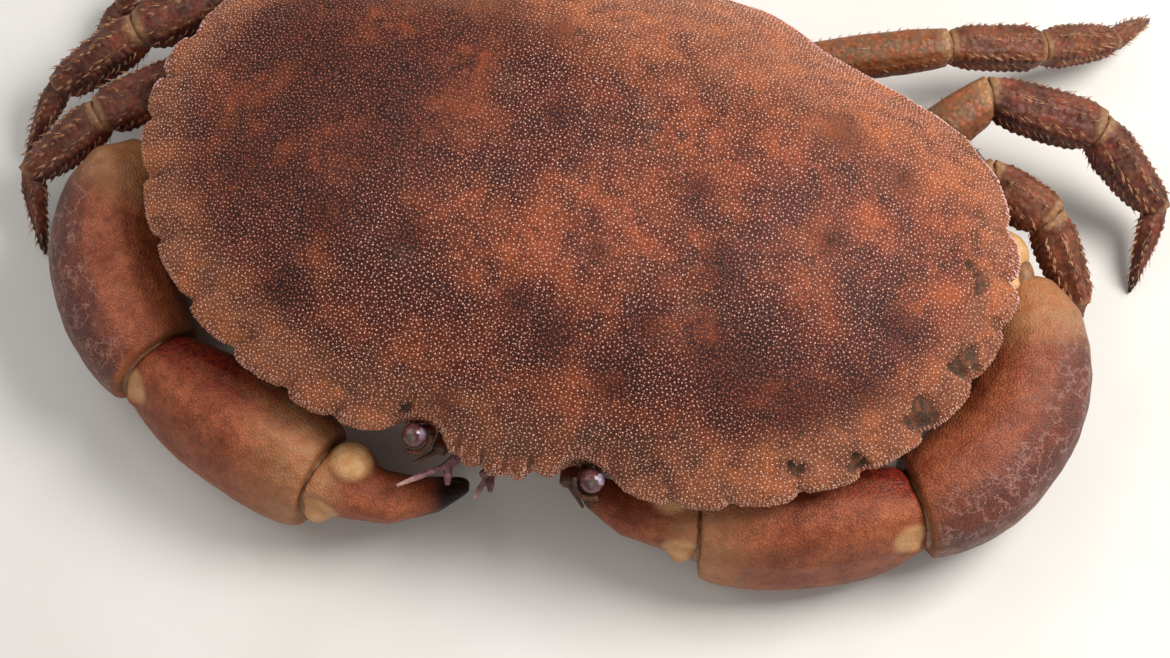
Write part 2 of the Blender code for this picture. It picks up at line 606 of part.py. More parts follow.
def make_horn(side):
    """Outer feeler: a broad fixed root joint and a short whip beside the eye."""
    sign = 1.0 if side == "left" else -1.0
    root = Vector((sign * HORN_ROOT[0], HORN_ROOT[1], HORN_ROOT[2]))
    knob = root + Vector((sign * 0.4, -4.6, 3.0))
    tip = knob + Vector((sign * 5.0, -5.0, 0.4))
    up = Vector((0.0, 0.0, 1.0))
    item = finish_mesh("antenna_" + side, limb([root, knob], [(0.0, 2.4, 2.2), (1.0, 1.9, 1.8)], 10, up,
                                               (None, None), (0.0, 1.2)), (0.55, 0.28, 0.14), 0.5)
    body = limb([knob, tip], [(0.0, 0.8, 0.8), (1.0, 0.4, 0.4)], 8, up)
    combine(item, [finish_mesh("whip_tool", body, (0.5, 0.5, 0.5))], "UNION")


def seat_on_origin():
    """Slide the whole crab so that its bounding box is centred over the origin."""
    low = Vector((1e9, 1e9, 1e9))
    high = Vector((-1e9, -1e9, -1e9))
    items = [item for item in bpy.data.objects if item.type == "MESH"]
    for item in items:
        for vert in item.data.vertices:
            for axis in range(3):
                low[axis] = min(low[axis], vert.co[axis])
                high[axis] = max(high[axis], vert.co[axis])
    shift = Vector((-(low.x + high.x) / 2.0, -(low.y + high.y) / 2.0, 0.0))
    for item in items:
        item.data.transform(Matrix.Translation(shift))


def build():
    clear_scene()
    carapace = make_carapace()
    make_underbody()
    make_abdomen()
    make_mouthparts()
    for side in ("left", "right"):
        make_eye(side, carapace)
        make_feeler(side)
        make_horn(side)
        make_claw(side, CLAWS[side])
    for name, joints in LEGS.items():
        make_leg(name, joints, LEG_GIRTH[name[:5]])
    seat_on_origin()


build()
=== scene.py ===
# %% [markdown]
# # A brown crab, life size, step by step
# The solid frame of the crab is already packed: sixty closed nodes, one for each plate of the animal.
# This notebook dresses that frame. It smooths every plate, covers the shell with its thousands of
# grains, plants the bristles of the legs and mixes a finish for each kind of surface.
# A still museum model has no joints, so every piece rides on the one body, root.

# %% Load the frame and keep its box
import math
import random

import bmesh
import bpy
import numpy as np
from mathutils import Matrix, Vector
from mathutils.bvhtree import BVHTree


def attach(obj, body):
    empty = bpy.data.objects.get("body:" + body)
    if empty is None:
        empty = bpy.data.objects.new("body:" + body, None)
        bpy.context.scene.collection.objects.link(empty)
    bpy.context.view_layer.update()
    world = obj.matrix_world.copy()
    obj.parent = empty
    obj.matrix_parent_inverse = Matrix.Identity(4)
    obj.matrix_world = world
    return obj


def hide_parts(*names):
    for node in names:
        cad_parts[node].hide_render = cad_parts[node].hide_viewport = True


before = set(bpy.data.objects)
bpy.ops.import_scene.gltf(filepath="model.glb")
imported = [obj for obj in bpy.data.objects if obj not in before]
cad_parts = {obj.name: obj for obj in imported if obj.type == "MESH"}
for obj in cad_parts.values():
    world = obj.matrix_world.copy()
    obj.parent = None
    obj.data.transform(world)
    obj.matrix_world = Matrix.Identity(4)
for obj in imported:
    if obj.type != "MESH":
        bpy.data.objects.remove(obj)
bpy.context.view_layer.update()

# %% [markdown]
# ## 1. Camera and light
# The photograph looks down on the crab from in front, about seventy degrees above the floor.
# The camera could be tracked to a target, but a roll would be lost that way, so its three axes are
# written down and turned into one matrix. Three soft lamps and a pale sky light the model evenly.

# %% Camera
MM = 0.001
CAMERA_AT = Vector((0.05697, -0.21782, 0.53283))
CAMERA_AHEAD = Vector((-0.0862, 0.3310, -0.9397)).normalized()
CAMERA_RIGHT = Vector((0.9664, 0.2571, 0.0019))
CAMERA_LENS = 71.615


def set_camera():
    back = -CAMERA_AHEAD
    right = (CAMERA_RIGHT - back * CAMERA_RIGHT.dot(back)).normalized()
    up = back.cross(right)
    data = bpy.data.cameras.new("camera")
    data.lens = CAMERA_LENS
    data.sensor_fit = "HORIZONTAL"
    data.sensor_width = 36.0
    data.clip_start = 0.01
    camera = bpy.data.objects.new("camera", data)
    camera.matrix_world = Matrix.Translation(CAMERA_AT) @ Matrix((right, up, back)).transposed().to_4x4()
    bpy.context.scene.collection.objects.link(camera)
    bpy.context.scene.camera = camera
    print("camera height above the floor:", round(CAMERA_AT.z, 3), "m")


set_camera()

# %% Lights
LIGHTS = {"key": ((0.34, 0.16, 0.50), 0.30, 4.4), "fill": ((-0.40, 0.02, 0.55), 0.5, 1.3),
          "front": ((0.10, -0.60, 0.42), 0.5, 0.7)}
LIT_PLACE = Vector((0.0, 0.0, 0.03))
SKY_COLOUR = (0.95, 0.97, 1.0, 1.0)
SKY_STRENGTH = 0.34


def set_lights():
    for name, (place, size, power) in LIGHTS.items():
        data = bpy.data.lights.new(name, "AREA")
        data.size = size
        data.energy = power
        lamp = bpy.data.objects.new(name, data)
        lamp.location = place
        lamp.rotation_euler = (LIT_PLACE - Vector(place)).to_track_quat("-Z", "Y").to_euler()
        bpy.context.scene.collection.objects.link(lamp)
    world = bpy.data.worlds.new("sky")
    world.use_nodes = True
    sky = world.node_tree.nodes["Background"]
    sky.inputs["Color"].default_value = SKY_COLOUR
    sky.inputs["Strength"].default_value = SKY_STRENGTH
    bpy.context.scene.world = world
    bpy.context.scene.view_settings.view_transform = "Standard"
    print("lamps:", list(LIGHTS))


set_lights()

# %% [markdown]
# ## 2. A recipe for surfaces
# Every surface of the crab mixes a few layers: broad cloudy colour, small spots, grains or pits, and
# a change of gloss. Wiring each of these by hand would repeat the same nodes, so one small class keeps
# a finish and adds a layer with each call. Patterns read the object's own coordinates in metres, and
# the marks that are painted on a mesh later come in as a colour attribute. The first surface made
# with it is the floor, which is plain and pale.

# %% Colours
def ink(red, green, blue):
    """A colour as the eye reads it, 0 to 255, turned into light shares."""
    shares = []
    for value in (red, green, blue):
        value = value / 255.0
        shares.append(value / 12.92 if value <= 0.04045 else ((value + 0.055) / 1.055) ** 2.4)
    return (shares[0], shares[1], shares[2], 1.0)


print("middle grey as a light share:", round(ink(128, 128, 128)[0], 3))


# %% The recipe
class Finish:
    """One surface recipe, built layer by layer."""

    def __init__(self, name, rough=0.5, sheen=0.3):
        self.material = bpy.data.materials.new(name)
        self.material.use_nodes = True
        self.tree = self.material.node_tree
        self.shader = self.tree.nodes["Principled BSDF"]
        self.shader.inputs["Roughness"].default_value = rough
        self.shader.inputs["Specular IOR Level"].default_value = sheen
        self.where = self.add("ShaderNodeTexCoord").outputs["Object"]
        self.relief = None

    def add(self, kind, **settings):
        node = self.tree.nodes.new(kind)
        for key, value in settings.items():
            setattr(node, key, value)
        return node

    def feed(self, socket, value):
        if isinstance(value, bpy.types.NodeSocket):
            self.tree.links.new(value, socket)
        else:
            socket.default_value = value

    def noise(self, size, detail=4.0, rough=0.55):
        """Cloudy pattern with features of about this size in millimetres."""
        node = self.add("ShaderNodeTexNoise")
        node.inputs["Scale"].default_value = 1.0 / (size * MM)
        node.inputs["Detail"].default_value = detail
        node.inputs["Roughness"].default_value = rough
        self.feed(node.inputs["Vector"], self.where)
        return node.outputs["Fac"]

    def cells(self, size):
        """Small rounded cells of this size in millimetres."""
        node = self.add("ShaderNodeTexVoronoi")
        node.inputs["Scale"].default_value = 1.0 / (size * MM)
        self.feed(node.inputs["Vector"], self.where)
        return node.outputs["Distance"]

    def steps(self, value, *stops):
        """A ramp from shares to colours or greys."""
        node = self.add("ShaderNodeValToRGB")
        ramp = node.color_ramp
        while len(ramp.elements) < len(stops):
            ramp.elements.new(0.5)
        for element, (place, colour) in zip(ramp.elements, stops):
            element.position = place
            element.color = colour if isinstance(colour, tuple) else (colour, colour, colour, 1.0)
        self.feed(node.inputs["Fac"], value)
        return node.outputs["Color"]

    def mix(self, share, below, above, mode="MIX"):
        node = self.add("ShaderNodeMix", data_type="RGBA", blend_type=mode)
        self.feed(node.inputs[0], share)
        self.feed(node.inputs[6], below)
        self.feed(node.inputs[7], above)
        return node.outputs[2]

    def both(self, first, second):
        """Where two masks hold at once."""
        node = self.add("ShaderNodeMath", operation="MULTIPLY")
        node.use_clamp = True
        self.feed(node.inputs[0], first)
        self.feed(node.inputs[1], second)
        return node.outputs[0]

    def marks(self):
        """The four painted channels of a mesh."""
        node = self.add("ShaderNodeAttribute", attribute_name="marks")
        split = self.add("ShaderNodeSeparateColor")
        self.feed(split.inputs["Color"], node.outputs["Color"])
        return [split.outputs[0], split.outputs[1], split.outputs[2], node.outputs["Alpha"]]

    def raise_by(self, value, height):
        """Add fine relief of this height in millimetres."""
        node = self.add("ShaderNodeBump")
        node.inputs["Distance"].default_value = height * MM
        self.feed(node.inputs["Height"], value)
        if self.relief is not None:
            self.feed(node.inputs["Normal"], self.relief)
        self.relief = node.outputs["Normal"]
        self.feed(self.shader.inputs["Normal"], self.relief)

    def colour(self, value):
        self.feed(self.shader.inputs["Base Color"], value)

    def gloss(self, value, low, high):
        """Let a pattern move the roughness between two values."""
        node = self.add("ShaderNodeMapRange")
        node.inputs["To Min"].default_value = low
        node.inputs["To Max"].default_value = high
        self.feed(node.inputs["Value"], value)
        self.feed(self.shader.inputs["Roughness"], node.outputs["Result"])


# %% The floor
FLOOR_HALF = 3.0


def lay_floor():
    body = bmesh.new()
    bmesh.ops.create_grid(body, x_segments=1, y_segments=1, size=FLOOR_HALF)
    mesh = bpy.data.meshes.new("floor")
    body.to_mesh(mesh)
    body.free()
    floor = bpy.data.objects.new("floor", mesh)
    bpy.context.scene.collection.objects.link(floor)
    paper = Finish("pale_floor", 0.8)
    clouds = paper.noise(60.0, 3.0)
    paper.colour(paper.steps(clouds, (0.3, ink(214, 209, 201)), (0.7, ink(222, 218, 211))))
    mesh.materials.append(paper.material)
    print("floor laid")


lay_floor()

# %% [markdown]
# ## 3. Working with the frame's own shapes
# The frame's nodes have the right size and place but flat facets. A plate could be modelled again
# from nothing, yet then it might drift from the frame. So each piece starts as a merged copy of its
# node, a voxel remesh gives it an even skin, and a few rounds of smoothing take the facets off.

# %% Copies, smoothing and placing
SHIFT = Vector((1.917, -17.975, 0.0))
MERGE_REACH = 0.00001


def spot(x, y, z=0.0):
    """A point in millimetres from the middle of the shell, as a place in the frame."""
    return (Vector((x, y, z)) + SHIFT) * MM


def merged_copy(node):
    body = bmesh.new()
    body.from_mesh(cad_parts[node].data)
    bmesh.ops.remove_doubles(body, verts=body.verts[:], dist=MERGE_REACH)
    return body


def make_piece(name, body):
    mesh = bpy.data.meshes.new(name)
    body.to_mesh(mesh)
    body.free()
    item = bpy.data.objects.new(name, mesh)
    bpy.context.scene.collection.objects.link(item)
    return item


def settle(item):
    """Apply every modifier of a piece to its mesh."""
    graph = bpy.context.evaluated_depsgraph_get()
    fresh = bpy.data.meshes.new_from_object(item.evaluated_get(graph))
    item.modifiers.clear()
    rough = item.data
    item.data = fresh
    bpy.data.meshes.remove(rough)
    fresh.name = item.name
    return item


def smooth_skin(name, voxel, rounds, lumps, node, swellings=()):
    """Even, rounded skin over a node, with gentle lumps: size and height in millimetres."""
    body = merged_copy(node)
    for place, radii in swellings:
        size = Matrix.Diagonal((radii[0] * MM, radii[1] * MM, radii[2] * MM, 1.0))
        bmesh.ops.create_uvsphere(body, u_segments=24, v_segments=16, radius=1.0,
                                  matrix=Matrix.Translation(spot(*place)) @ size)
    item = make_piece(name, body)
    cast = item.modifiers.new("cast", "REMESH")
    cast.mode = "VOXEL"
    cast.voxel_size = voxel * MM
    polish = item.modifiers.new("polish", "SMOOTH")
    polish.iterations = rounds
    for size, height in lumps:
        clouds = bpy.data.textures.new(name + "_lumps", "CLOUDS")
        clouds.noise_scale = size * MM
        swell = item.modifiers.new("swell", "DISPLACE")
        swell.texture = clouds
        swell.strength = height * MM
        swell.mid_level = 0.5
    return settle(item)


def dress(item, finish, node=None):
    """Give a piece its finish and its place in the frame."""
    item.data.materials.clear()
    item.data.materials.append(finish.material)
    item.data.shade_smooth()
    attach(item, "root")
    if node:
        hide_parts(node)
    print(item.name, len(item.data.polygons), "faces")


# %% [markdown]
# Wear, blotches and pale edges sit at certain places of the real animal, so noise alone can't put
# them there. Up to four soft masks are painted on the points of a mesh and are kept with it as a
# colour. They could be drawn in an image, but a mask on the points needs no unwrap. The finish mixes
# its paints by these masks, which also follow the grains that grow on a skin.

# %% Painting marks and pressing grooves
def points_of(item):
    """Points in millimetres from the middle of the shell, and their outward directions."""
    count = len(item.data.vertices)
    places = np.empty(count * 3)
    item.data.vertices.foreach_get("co", places)
    ways = np.empty(count * 3)
    item.data.vertices.foreach_get("normal", ways)
    return places.reshape(-1, 3) / MM - np.array(SHIFT), ways.reshape(-1, 3)


def ease(low, high, value):
    share = np.clip((value - low) / (high - low), 0.0, 1.0)
    return share * share * (3.0 - 2.0 * share)


def blobs(places, spots, edge=1.0):
    """Soft round spots seen from above. A larger edge number gives a crisper rim."""
    total = np.zeros(len(places))
    for x, y, radius in spots:
        gap = ((places[:, 0] - x) ** 2 + (places[:, 1] - y) ** 2) / radius ** 2
        total += np.exp(-gap ** edge)
    return np.clip(total, 0.0, 1.0)


def near_point(places, centre, radius):
    gap = np.linalg.norm(places - np.array(centre), axis=1)
    return 1.0 - ease(0.6 * radius, radius, gap)


def along(places, start, end):
    """Share along a straight line and distance from it."""
    start, end = np.array(start, dtype=float), np.array(end, dtype=float)
    line = end - start
    share = (places - start) @ line / (line @ line)
    gap = np.linalg.norm(places - start - np.clip(share, 0.0, 1.0)[:, None] * line, axis=1)
    return share, gap


NONE = 0.0


def paint_marks(item, channels):
    """Keep up to four masks with a mesh. A mask is a share for each point, or one for all."""
    values = np.zeros((len(item.data.vertices), 4))
    for index, share in enumerate(channels):
        values[:, index] = np.clip(share, 0.0, 1.0)
    layer = item.data.attributes.new("marks", "FLOAT_COLOR", "POINT")
    layer.data.foreach_set("color", values.ravel())


def push_points(item, depth):
    """Move each point along its outward direction by a depth in millimetres."""
    places, ways = points_of(item)
    moved = (places + ways * depth[:, None] + np.array(SHIFT)) * MM
    item.data.vertices.foreach_set("co", moved.ravel())
    item.data.update()


# %% [markdown]
# ## 4. The shell
# The broad oval shell is one plate with a pie-crust edge of rounded lobes. Short clefts run in from
# the notches, a few worn hollows lie behind them, and three small lobes swell between the eyes.
# Sculpting by hand couldn't be repeated, so the lobes are balls that are fused with the node, the
# whole is smoothed, and then clefts and hollows are pressed into its points.

# %% Shell skin
NOTCHES = [(25.5, -60.4), (38.7, -61.0), (51.1, -58.2), (65.6, -52.0), (78.0, -43.9), (89.4, -32.0),
           (96.9, -17.7), (100.8, -3.6), (101.3, 7.6), (98.2, 19.4)]
BROW_GAPS = [(-10.2, -60.6), (-4.4, -61.4), (1.1, -61.4), (6.7, -60.4)]
CLEFT_START, CLEFT_LONG, CLEFT_TURN = 1.03, 0.075, 0.4
CLEFT_WIDE, CLEFT_DEEP = 0.85, 0.55
BROW_CLEFT = {"out": 4.0, "in": 3.6, "narrow": 0.96, "wide": 0.75, "deep": 1.5}
HOLLOWS = [(94.6, -13.4, 3.0), (92.6, -15.6, 2.4), (88.0, -27.4, 3.6), (86.0, -31.0, 2.8),
           (76.6, -43.4, 2.6), (93.6, 3.6, 2.2), (90.0, 6.0, 1.6), (63.4, -48.6, 1.9),
           (-22.6, -57.2, 1.7)]
BROW_LOBES = [((-7.0, -60.8, 37.6), (2.5, 2.9, 2.3)), ((-1.8, -61.4, 37.9), (2.4, 2.9, 2.3)),
              ((3.9, -61.0, 37.8), (2.5, 2.9, 2.3))]
HOLLOW_DEEP = 1.1
RAGGED = 5
FULL_TURN = 6.28
SHELL_VOXEL = 0.83


def cleft_share(places):
    """How much each point lies in a cleft between two lobes."""
    total = np.zeros(len(places))
    flat = places * np.array((1.0, 1.0, 0.0))
    for side in (1.0, -1.0):
        for x, y in NOTCHES:
            start = np.array((side * x, y, 0.0))
            end = start * (1.0 - CLEFT_LONG) - np.array((0.0, CLEFT_TURN, 0.0))
            share, gap = along(flat, start * CLEFT_START, end)
            fade = 1.0 - 0.5 * np.clip(share, 0.0, 1.0)
            total = np.maximum(total, np.exp(-(gap / CLEFT_WIDE) ** 2) * fade)
    for x, y in BROW_GAPS:
        start = (x, y - BROW_CLEFT["out"], 0.0)
        end = (BROW_CLEFT["narrow"] * x, y + BROW_CLEFT["in"], 0.0)
        share, gap = along(flat, start, end)
        fade = BROW_CLEFT["deep"] * (1.0 - ease(0.4, 1.0, share))
        total = np.maximum(total, np.exp(-(gap / BROW_CLEFT["wide"]) ** 2) * fade)
    return total


def ragged(spots, seed):
    """Break round spots up with smaller ones around their rims."""
    rng = random.Random(seed)
    broken = []
    for x, y, radius in spots:
        broken.append((x, y, radius * 0.7))
        for number in range(RAGGED):
            turn = rng.uniform(0.0, FULL_TURN)
            reach = radius * rng.uniform(0.5, 1.0)
            size = radius * rng.uniform(0.2, 0.5)
            broken.append((x + reach * math.cos(turn), y + reach * math.sin(turn), size))
    return broken


SHELL_LUMPS = [(14.0, 0.9), (5.0, 0.3)]
shell = smooth_skin("shell_skin", SHELL_VOXEL, 7, SHELL_LUMPS, "carapace", swellings=BROW_LOBES)
places, ways = points_of(shell)
clefts = cleft_share(places) * ease(-0.2, 0.3, ways[:, 2])
hollows = blobs(places, ragged(HOLLOWS, 4), 2.0) * ease(0.0, 0.4, ways[:, 2])
push_points(shell, -CLEFT_DEEP * clefts - HOLLOW_DEEP * hollows)
print("shell points:", len(places), "in clefts:", int((clefts > 0.5).sum()))

# %% Shell marks
DARK_BLOTCHES = [(37, -15, 6), (44, -35, 8), (60, -37, 10), (55, 25, 7), (36, -29, 5), (6, -38, 6),
                 (-4, -33, 4), (-56, -40, 7), (-71, -15, 10), (-60, 13, 13), (-28, 18, 8),
                 (-30, -25, 5), (20, -43, 5), (25, -31, 4), (78, -14, 6), (58, -2, 4), (-11, 31, 5),
                 (71, 19, 4), (-49, -23, 9), (-6, 10, 4), (28, 1, 4), (-15, -55, 4), (75, -30, 6),
                 (11, -19, 3), (-70, 38, 10)]
ORANGE_FIELDS = [(16, -11, 7), (23, 11, 12), (-26, 3, 5), (-20, -15, 6), (76, 28, 10), (6, 38, 14),
                 (44, 44, 14), (-22, -52, 5), (3, -6, 5), (62, 40, 10), (90, 28, 7), (66, 6, 5),
                 (86, -4, 5), (44, 16, 6), (14, -50, 5), (84, 15, 8), (31, -11, 3), (-2, -18, 6),
                 (-45, 45, 10)]
SCARS = [(12, 17, 2.4), (14.5, 12.5, 2.2), (17, 8, 2.0), (-18, 14, 3.4), (-30, -29, 2.6),
         (32, -24, 2.6), (-24, -55, 4), (-31, -52, 5), (40, -51, 4), (18, -54, 4), (3, -57, 4),
         (30, -54, 3), (-93, 3, 1.8), (-77, -39, 2.0)]
# Broad painted shade: large soft dark spots over the crab's right half, away from the key lamp.
PAINTED_SHADE_SPOTS = [(-66, -8, 30), (-58, 36, 28), (-40, 10, 20), (-36, 36, 14)]
BROW_PALE = {"rows": (-46.0, -60.0), "sides": (44.0, 24.0), "share": 0.55}
PALE_BACK = {"rows": (18.0, 48.0), "lean": 0.12, "share": 0.8}
SHELL_HALF = (101.5, 66.0)
SHELL_MIDDLE = 2.0


def edge_share(places):
    """0 on the back of the shell, 1 at its rim."""
    across = places[:, 0] / SHELL_HALF[0]
    lengthwise = (places[:, 1] - SHELL_MIDDLE) / SHELL_HALF[1]
    return np.hypot(across, lengthwise)


places, ways = points_of(shell)
rim = ease(0.84, 0.99, edge_share(places))
lower = ease(-0.1, -0.5, ways[:, 2])
# The dark mask holds the shell's own plum blotches and, over the right half, painted shade.
blotches_and_painted_shade = np.maximum(0.8 * blobs(places, DARK_BLOTCHES), 0.64 * blobs(places, PAINTED_SHADE_SPOTS))
brow = ease(*BROW_PALE["rows"], places[:, 1]) * ease(*BROW_PALE["sides"], np.abs(places[:, 0]))
back = ease(*PALE_BACK["rows"], places[:, 1] + PALE_BACK["lean"] * places[:, 0])
pale = np.maximum.reduce([0.9 * rim, BROW_PALE["share"] * brow, PALE_BACK["share"] * back, lower])
stains = np.maximum.reduce([0.5 * blobs(places, ragged(SCARS, 6)), hollows, 0.6 * clefts])
paint_marks(shell, [blotches_and_painted_shade * (1.0 - rim), 0.8 * blobs(places, ORANGE_FIELDS), pale, stains])
grained = ((ways[:, 2] > -0.1) & (np.maximum(clefts, hollows) < 0.6)).astype(float)
layer = shell.data.attributes.new("grained", "FLOAT", "POINT")
layer.data.foreach_set("value", grained)
print("rim points:", int((rim > 0.5).sum()), "points that carry grains:", int(grained.sum()))

# %% [markdown]
# The shell's colour is a red-brown with plum clouds and orange fields, tan and golden lobes, and silt
# in the hollows, with painted shade darkening the crab's right half. The same function mixes these
# paints for the skin and for the grains, so that a grain is always a lighter kind of the colour it
# stands on.

# %% Shell finish
DEEP, RUST, AMBER = ink(50, 20, 14), ink(80, 32, 21), ink(154, 74, 38)
PLUM, LOBE, SILT, CREAM = ink(46, 22, 20), ink(144, 86, 58), ink(66, 50, 38), ink(236, 178, 152)
DOT, EMBER, GOLD = ink(176, 106, 82), ink(176, 96, 62), ink(178, 98, 50)


def shell_paint(finish):
    dark, orange, rim, silt = finish.marks()
    cloud = finish.noise(17.0, 6.0, 0.62)
    colour = finish.steps(cloud, (0.3, DEEP), (0.5, RUST), (0.76, AMBER))
    broken = finish.steps(finish.noise(4.5, 5.0, 0.62), (0.38, 0.15), (0.58, 1.0))
    colour = finish.mix(finish.both(orange, broken), colour, AMBER)
    patch = finish.steps(finish.noise(7.0, 5.0, 0.65), (0.5, 0.0), (0.62, 0.55))
    colour = finish.mix(patch, colour, PLUM)
    # Plum where the dark mask lies: the shell's own blotches, and painted shade on the crab's right half.
    colour = finish.mix(finish.both(dark, broken), colour, PLUM)
    soft = finish.steps(finish.noise(6.0, 4.0, 0.6), (0.3, 0.45), (0.6, 1.0))
    colour = finish.mix(finish.both(rim, soft), colour, LOBE)
    golden = finish.steps(finish.noise(9.0, 4.0, 0.6), (0.48, 0.0), (0.64, 0.7))
    colour = finish.mix(finish.both(rim, golden), colour, GOLD)
    mottle = finish.steps(finish.noise(5.5, 4.0, 0.6), (0.54, 0.0), (0.66, 0.45))
    colour = finish.mix(mottle, colour, PLUM)
    flecks = finish.steps(finish.noise(1.6, 4.0, 0.6), (0.36, 0.3), (0.56, 1.0))
    return finish.mix(finish.both(silt, flecks), colour, SILT)


shell_finish = Finish("shell_red_brown", 0.6, 0.2)
colour = shell_paint(shell_finish)
speckle = shell_finish.steps(shell_finish.noise(0.9, 3.0, 0.7), (0.3, 0.55), (0.7, 1.25))
colour = shell_finish.mix(0.8, colour, speckle, "MULTIPLY")
dots = shell_finish.steps(shell_finish.cells(0.5), (0.12, 0.55), (0.34, 0.0))
shell_finish.colour(shell_finish.mix(dots, colour, DOT))
shell_finish.raise_by(shell_finish.cells(0.5), -0.12)
shell_finish.raise_by(shell_finish.noise(2.4, 4.0), 0.22)
shell_finish.gloss(shell_finish.noise(3.0, 3.0), 0.5, 0.78)
dress(shell, shell_finish, "carapace")

# %% [markdown]
# ## 5. The grains of the shell
# A live shell is studded with thousands of low beads, about a millimetre apart, with smaller ones
# between them. Modelling each by hand is out of reach, and a bump would leave the edge smooth.
# Geometry Nodes spreads points evenly over the skin with a least distance, puts a small bead on
# each, and the result is made real. The smaller beads keep clear of the larger ones.

# %% Scattering beads
COARSE = {"spacing": 0.97, "sizes": (0.2, 0.28), "seed": 5}
FINE = {"spacing": 0.72, "sizes": (0.12, 0.17), "seed": 9}
GRAIN_ROOM = 0.46
GRAIN_FLAT = 0.72
PACKING = 4.0


def bead_shape():
    body = bmesh.new()
    bmesh.ops.create_icosphere(body, subdivisions=1, radius=1.0)
    bmesh.ops.scale(body, vec=(1.0, 1.0, GRAIN_FLAT), verts=body.verts[:])
    return make_piece("bead_shape", body)


def named_value(group, kind, name):
    """A value that is stored on the points of a mesh."""
    value = group.nodes.new("GeometryNodeInputNamedAttribute")
    value.data_type = kind
    value.inputs["Name"].default_value = name
    return value.outputs[0]


def spread_points(group, skin, grains):
    """Even points on the grained part of a skin, never closer than the spacing in millimetres."""
    spacing = grains["spacing"] * MM
    spread = group.nodes.new("GeometryNodeDistributePointsOnFaces")
    spread.distribute_method = "POISSON"
    spread.inputs["Distance Min"].default_value = spacing
    spread.inputs["Density Max"].default_value = PACKING / spacing ** 2
    spread.inputs["Seed"].default_value = grains["seed"]
    group.links.new(skin, spread.inputs["Mesh"])
    group.links.new(named_value(group, "FLOAT", "grained"), spread.inputs["Density Factor"])
    return spread


def keep_clear(group, points, others, room):
    """Drop the points that lie within some room, in millimetres, of other points."""
    near = group.nodes.new("GeometryNodeProximity")
    near.target_element = "POINTS"
    close = group.nodes.new("FunctionNodeCompare")
    close.operation = "LESS_THAN"
    close.inputs[1].default_value = room * MM
    drop = group.nodes.new("GeometryNodeDeleteGeometry")
    group.links.new(others, near.inputs[0])
    group.links.new(near.outputs["Distance"], close.inputs[0])
    group.links.new(points, drop.inputs["Geometry"])
    group.links.new(close.outputs[0], drop.inputs["Selection"])
    return drop.outputs["Geometry"]


def keep_turn(group, spread):
    """Store which way each point faces, so that it outlasts the thinning."""
    turn = group.nodes.new("GeometryNodeStoreNamedAttribute")
    turn.data_type = "QUATERNION"
    turn.inputs["Name"].default_value = "stand"
    group.links.new(spread.outputs["Points"], turn.inputs["Geometry"])
    group.links.new(spread.outputs["Rotation"], turn.inputs["Value"])
    return turn.outputs["Geometry"]


print("spacing of the grains in millimetres:", COARSE["spacing"], FINE["spacing"])

# %% Beads on the points
def stand_beads(group, points, bead, grains):
    """One real bead on each point, with a random size."""
    shape = group.nodes.new("GeometryNodeObjectInfo")
    shape.inputs["Object"].default_value = bead
    size = group.nodes.new("FunctionNodeRandomValue")
    size.inputs[2].default_value = grains["sizes"][0] * MM
    size.inputs[3].default_value = grains["sizes"][1] * MM
    size.inputs["Seed"].default_value = grains["seed"] + 1
    stand = group.nodes.new("GeometryNodeInstanceOnPoints")
    real = group.nodes.new("GeometryNodeRealizeInstances")
    group.links.new(points, stand.inputs["Points"])
    group.links.new(named_value(group, "QUATERNION", "stand"), stand.inputs["Rotation"])
    group.links.new(shape.outputs["Geometry"], stand.inputs["Instance"])
    group.links.new(size.outputs[1], stand.inputs["Scale"])
    group.links.new(stand.outputs["Instances"], real.inputs["Geometry"])
    return real.outputs["Geometry"]


def scatter_group(bead, grains, larger=None):
    """Nodes that turn a skin into beads. Larger grains, where given, are kept clear of."""
    group = bpy.data.node_groups.new("scatter", "GeometryNodeTree")
    for way in ("INPUT", "OUTPUT"):
        group.interface.new_socket("Geometry", in_out=way, socket_type="NodeSocketGeometry")
    skin = group.nodes.new("NodeGroupInput").outputs[0]
    points = keep_turn(group, spread_points(group, skin, grains))
    if larger:
        others = spread_points(group, skin, larger).outputs["Points"]
        points = keep_clear(group, points, others, GRAIN_ROOM)
    end = group.nodes.new("NodeGroupOutput")
    group.links.new(stand_beads(group, points, bead, grains), end.inputs[0])
    return group


def grow_beads(name, skin, bead, grains, larger=None):
    item = skin.copy()
    item.data = skin.data.copy()
    item.name = name
    bpy.context.scene.collection.objects.link(item)
    grow = item.modifiers.new("grow", "NODES")
    grow.node_group = scatter_group(bead, grains, larger)
    return settle(item)


def half_of(skin, side):
    """One side of a skin, cut down the middle."""
    body = bmesh.new()
    body.from_mesh(skin.data)
    everything = body.verts[:] + body.edges[:] + body.faces[:]
    bmesh.ops.bisect_plane(body, geom=everything, plane_co=spot(0.0, 0.0), plane_no=(side, 0.0, 0.0),
                           clear_inner=True)
    return make_piece("half_skin", body)


# %% Grains on both sides
bead = bead_shape()
bead_finish = Finish("shell_grain", 0.34)
tone = bead_finish.steps(bead_finish.noise(2.2, 2.0, 0.7), (0.3, 0.4), (0.7, 0.9))
# Beads on the plum blotches and in the painted shade of the crab's right half turn from cream towards a
# darker ember tint.
tint_in_blotches_and_painted_shade = bead_finish.steps(bead_finish.marks()[0], (0.1, CREAM), (0.75, EMBER))
bead_finish.colour(bead_finish.mix(tone, shell_paint(bead_finish), tint_in_blotches_and_painted_shade))
bead_finish.gloss(bead_finish.noise(4.0, 2.0), 0.26, 0.5)
bead_finish.raise_by(bead_finish.noise(0.3, 2.0), 0.02)
for title, side in (("left", 1.0), ("right", -1.0)):
    half = half_of(shell, side)
    dress(grow_beads("grains_coarse_" + title, half, bead, COARSE), bead_finish)
    dress(grow_beads("grains_fine_" + title, half, bead, FINE, COARSE), bead_finish)
    bpy.data.objects.remove(half, do_unlink=True)

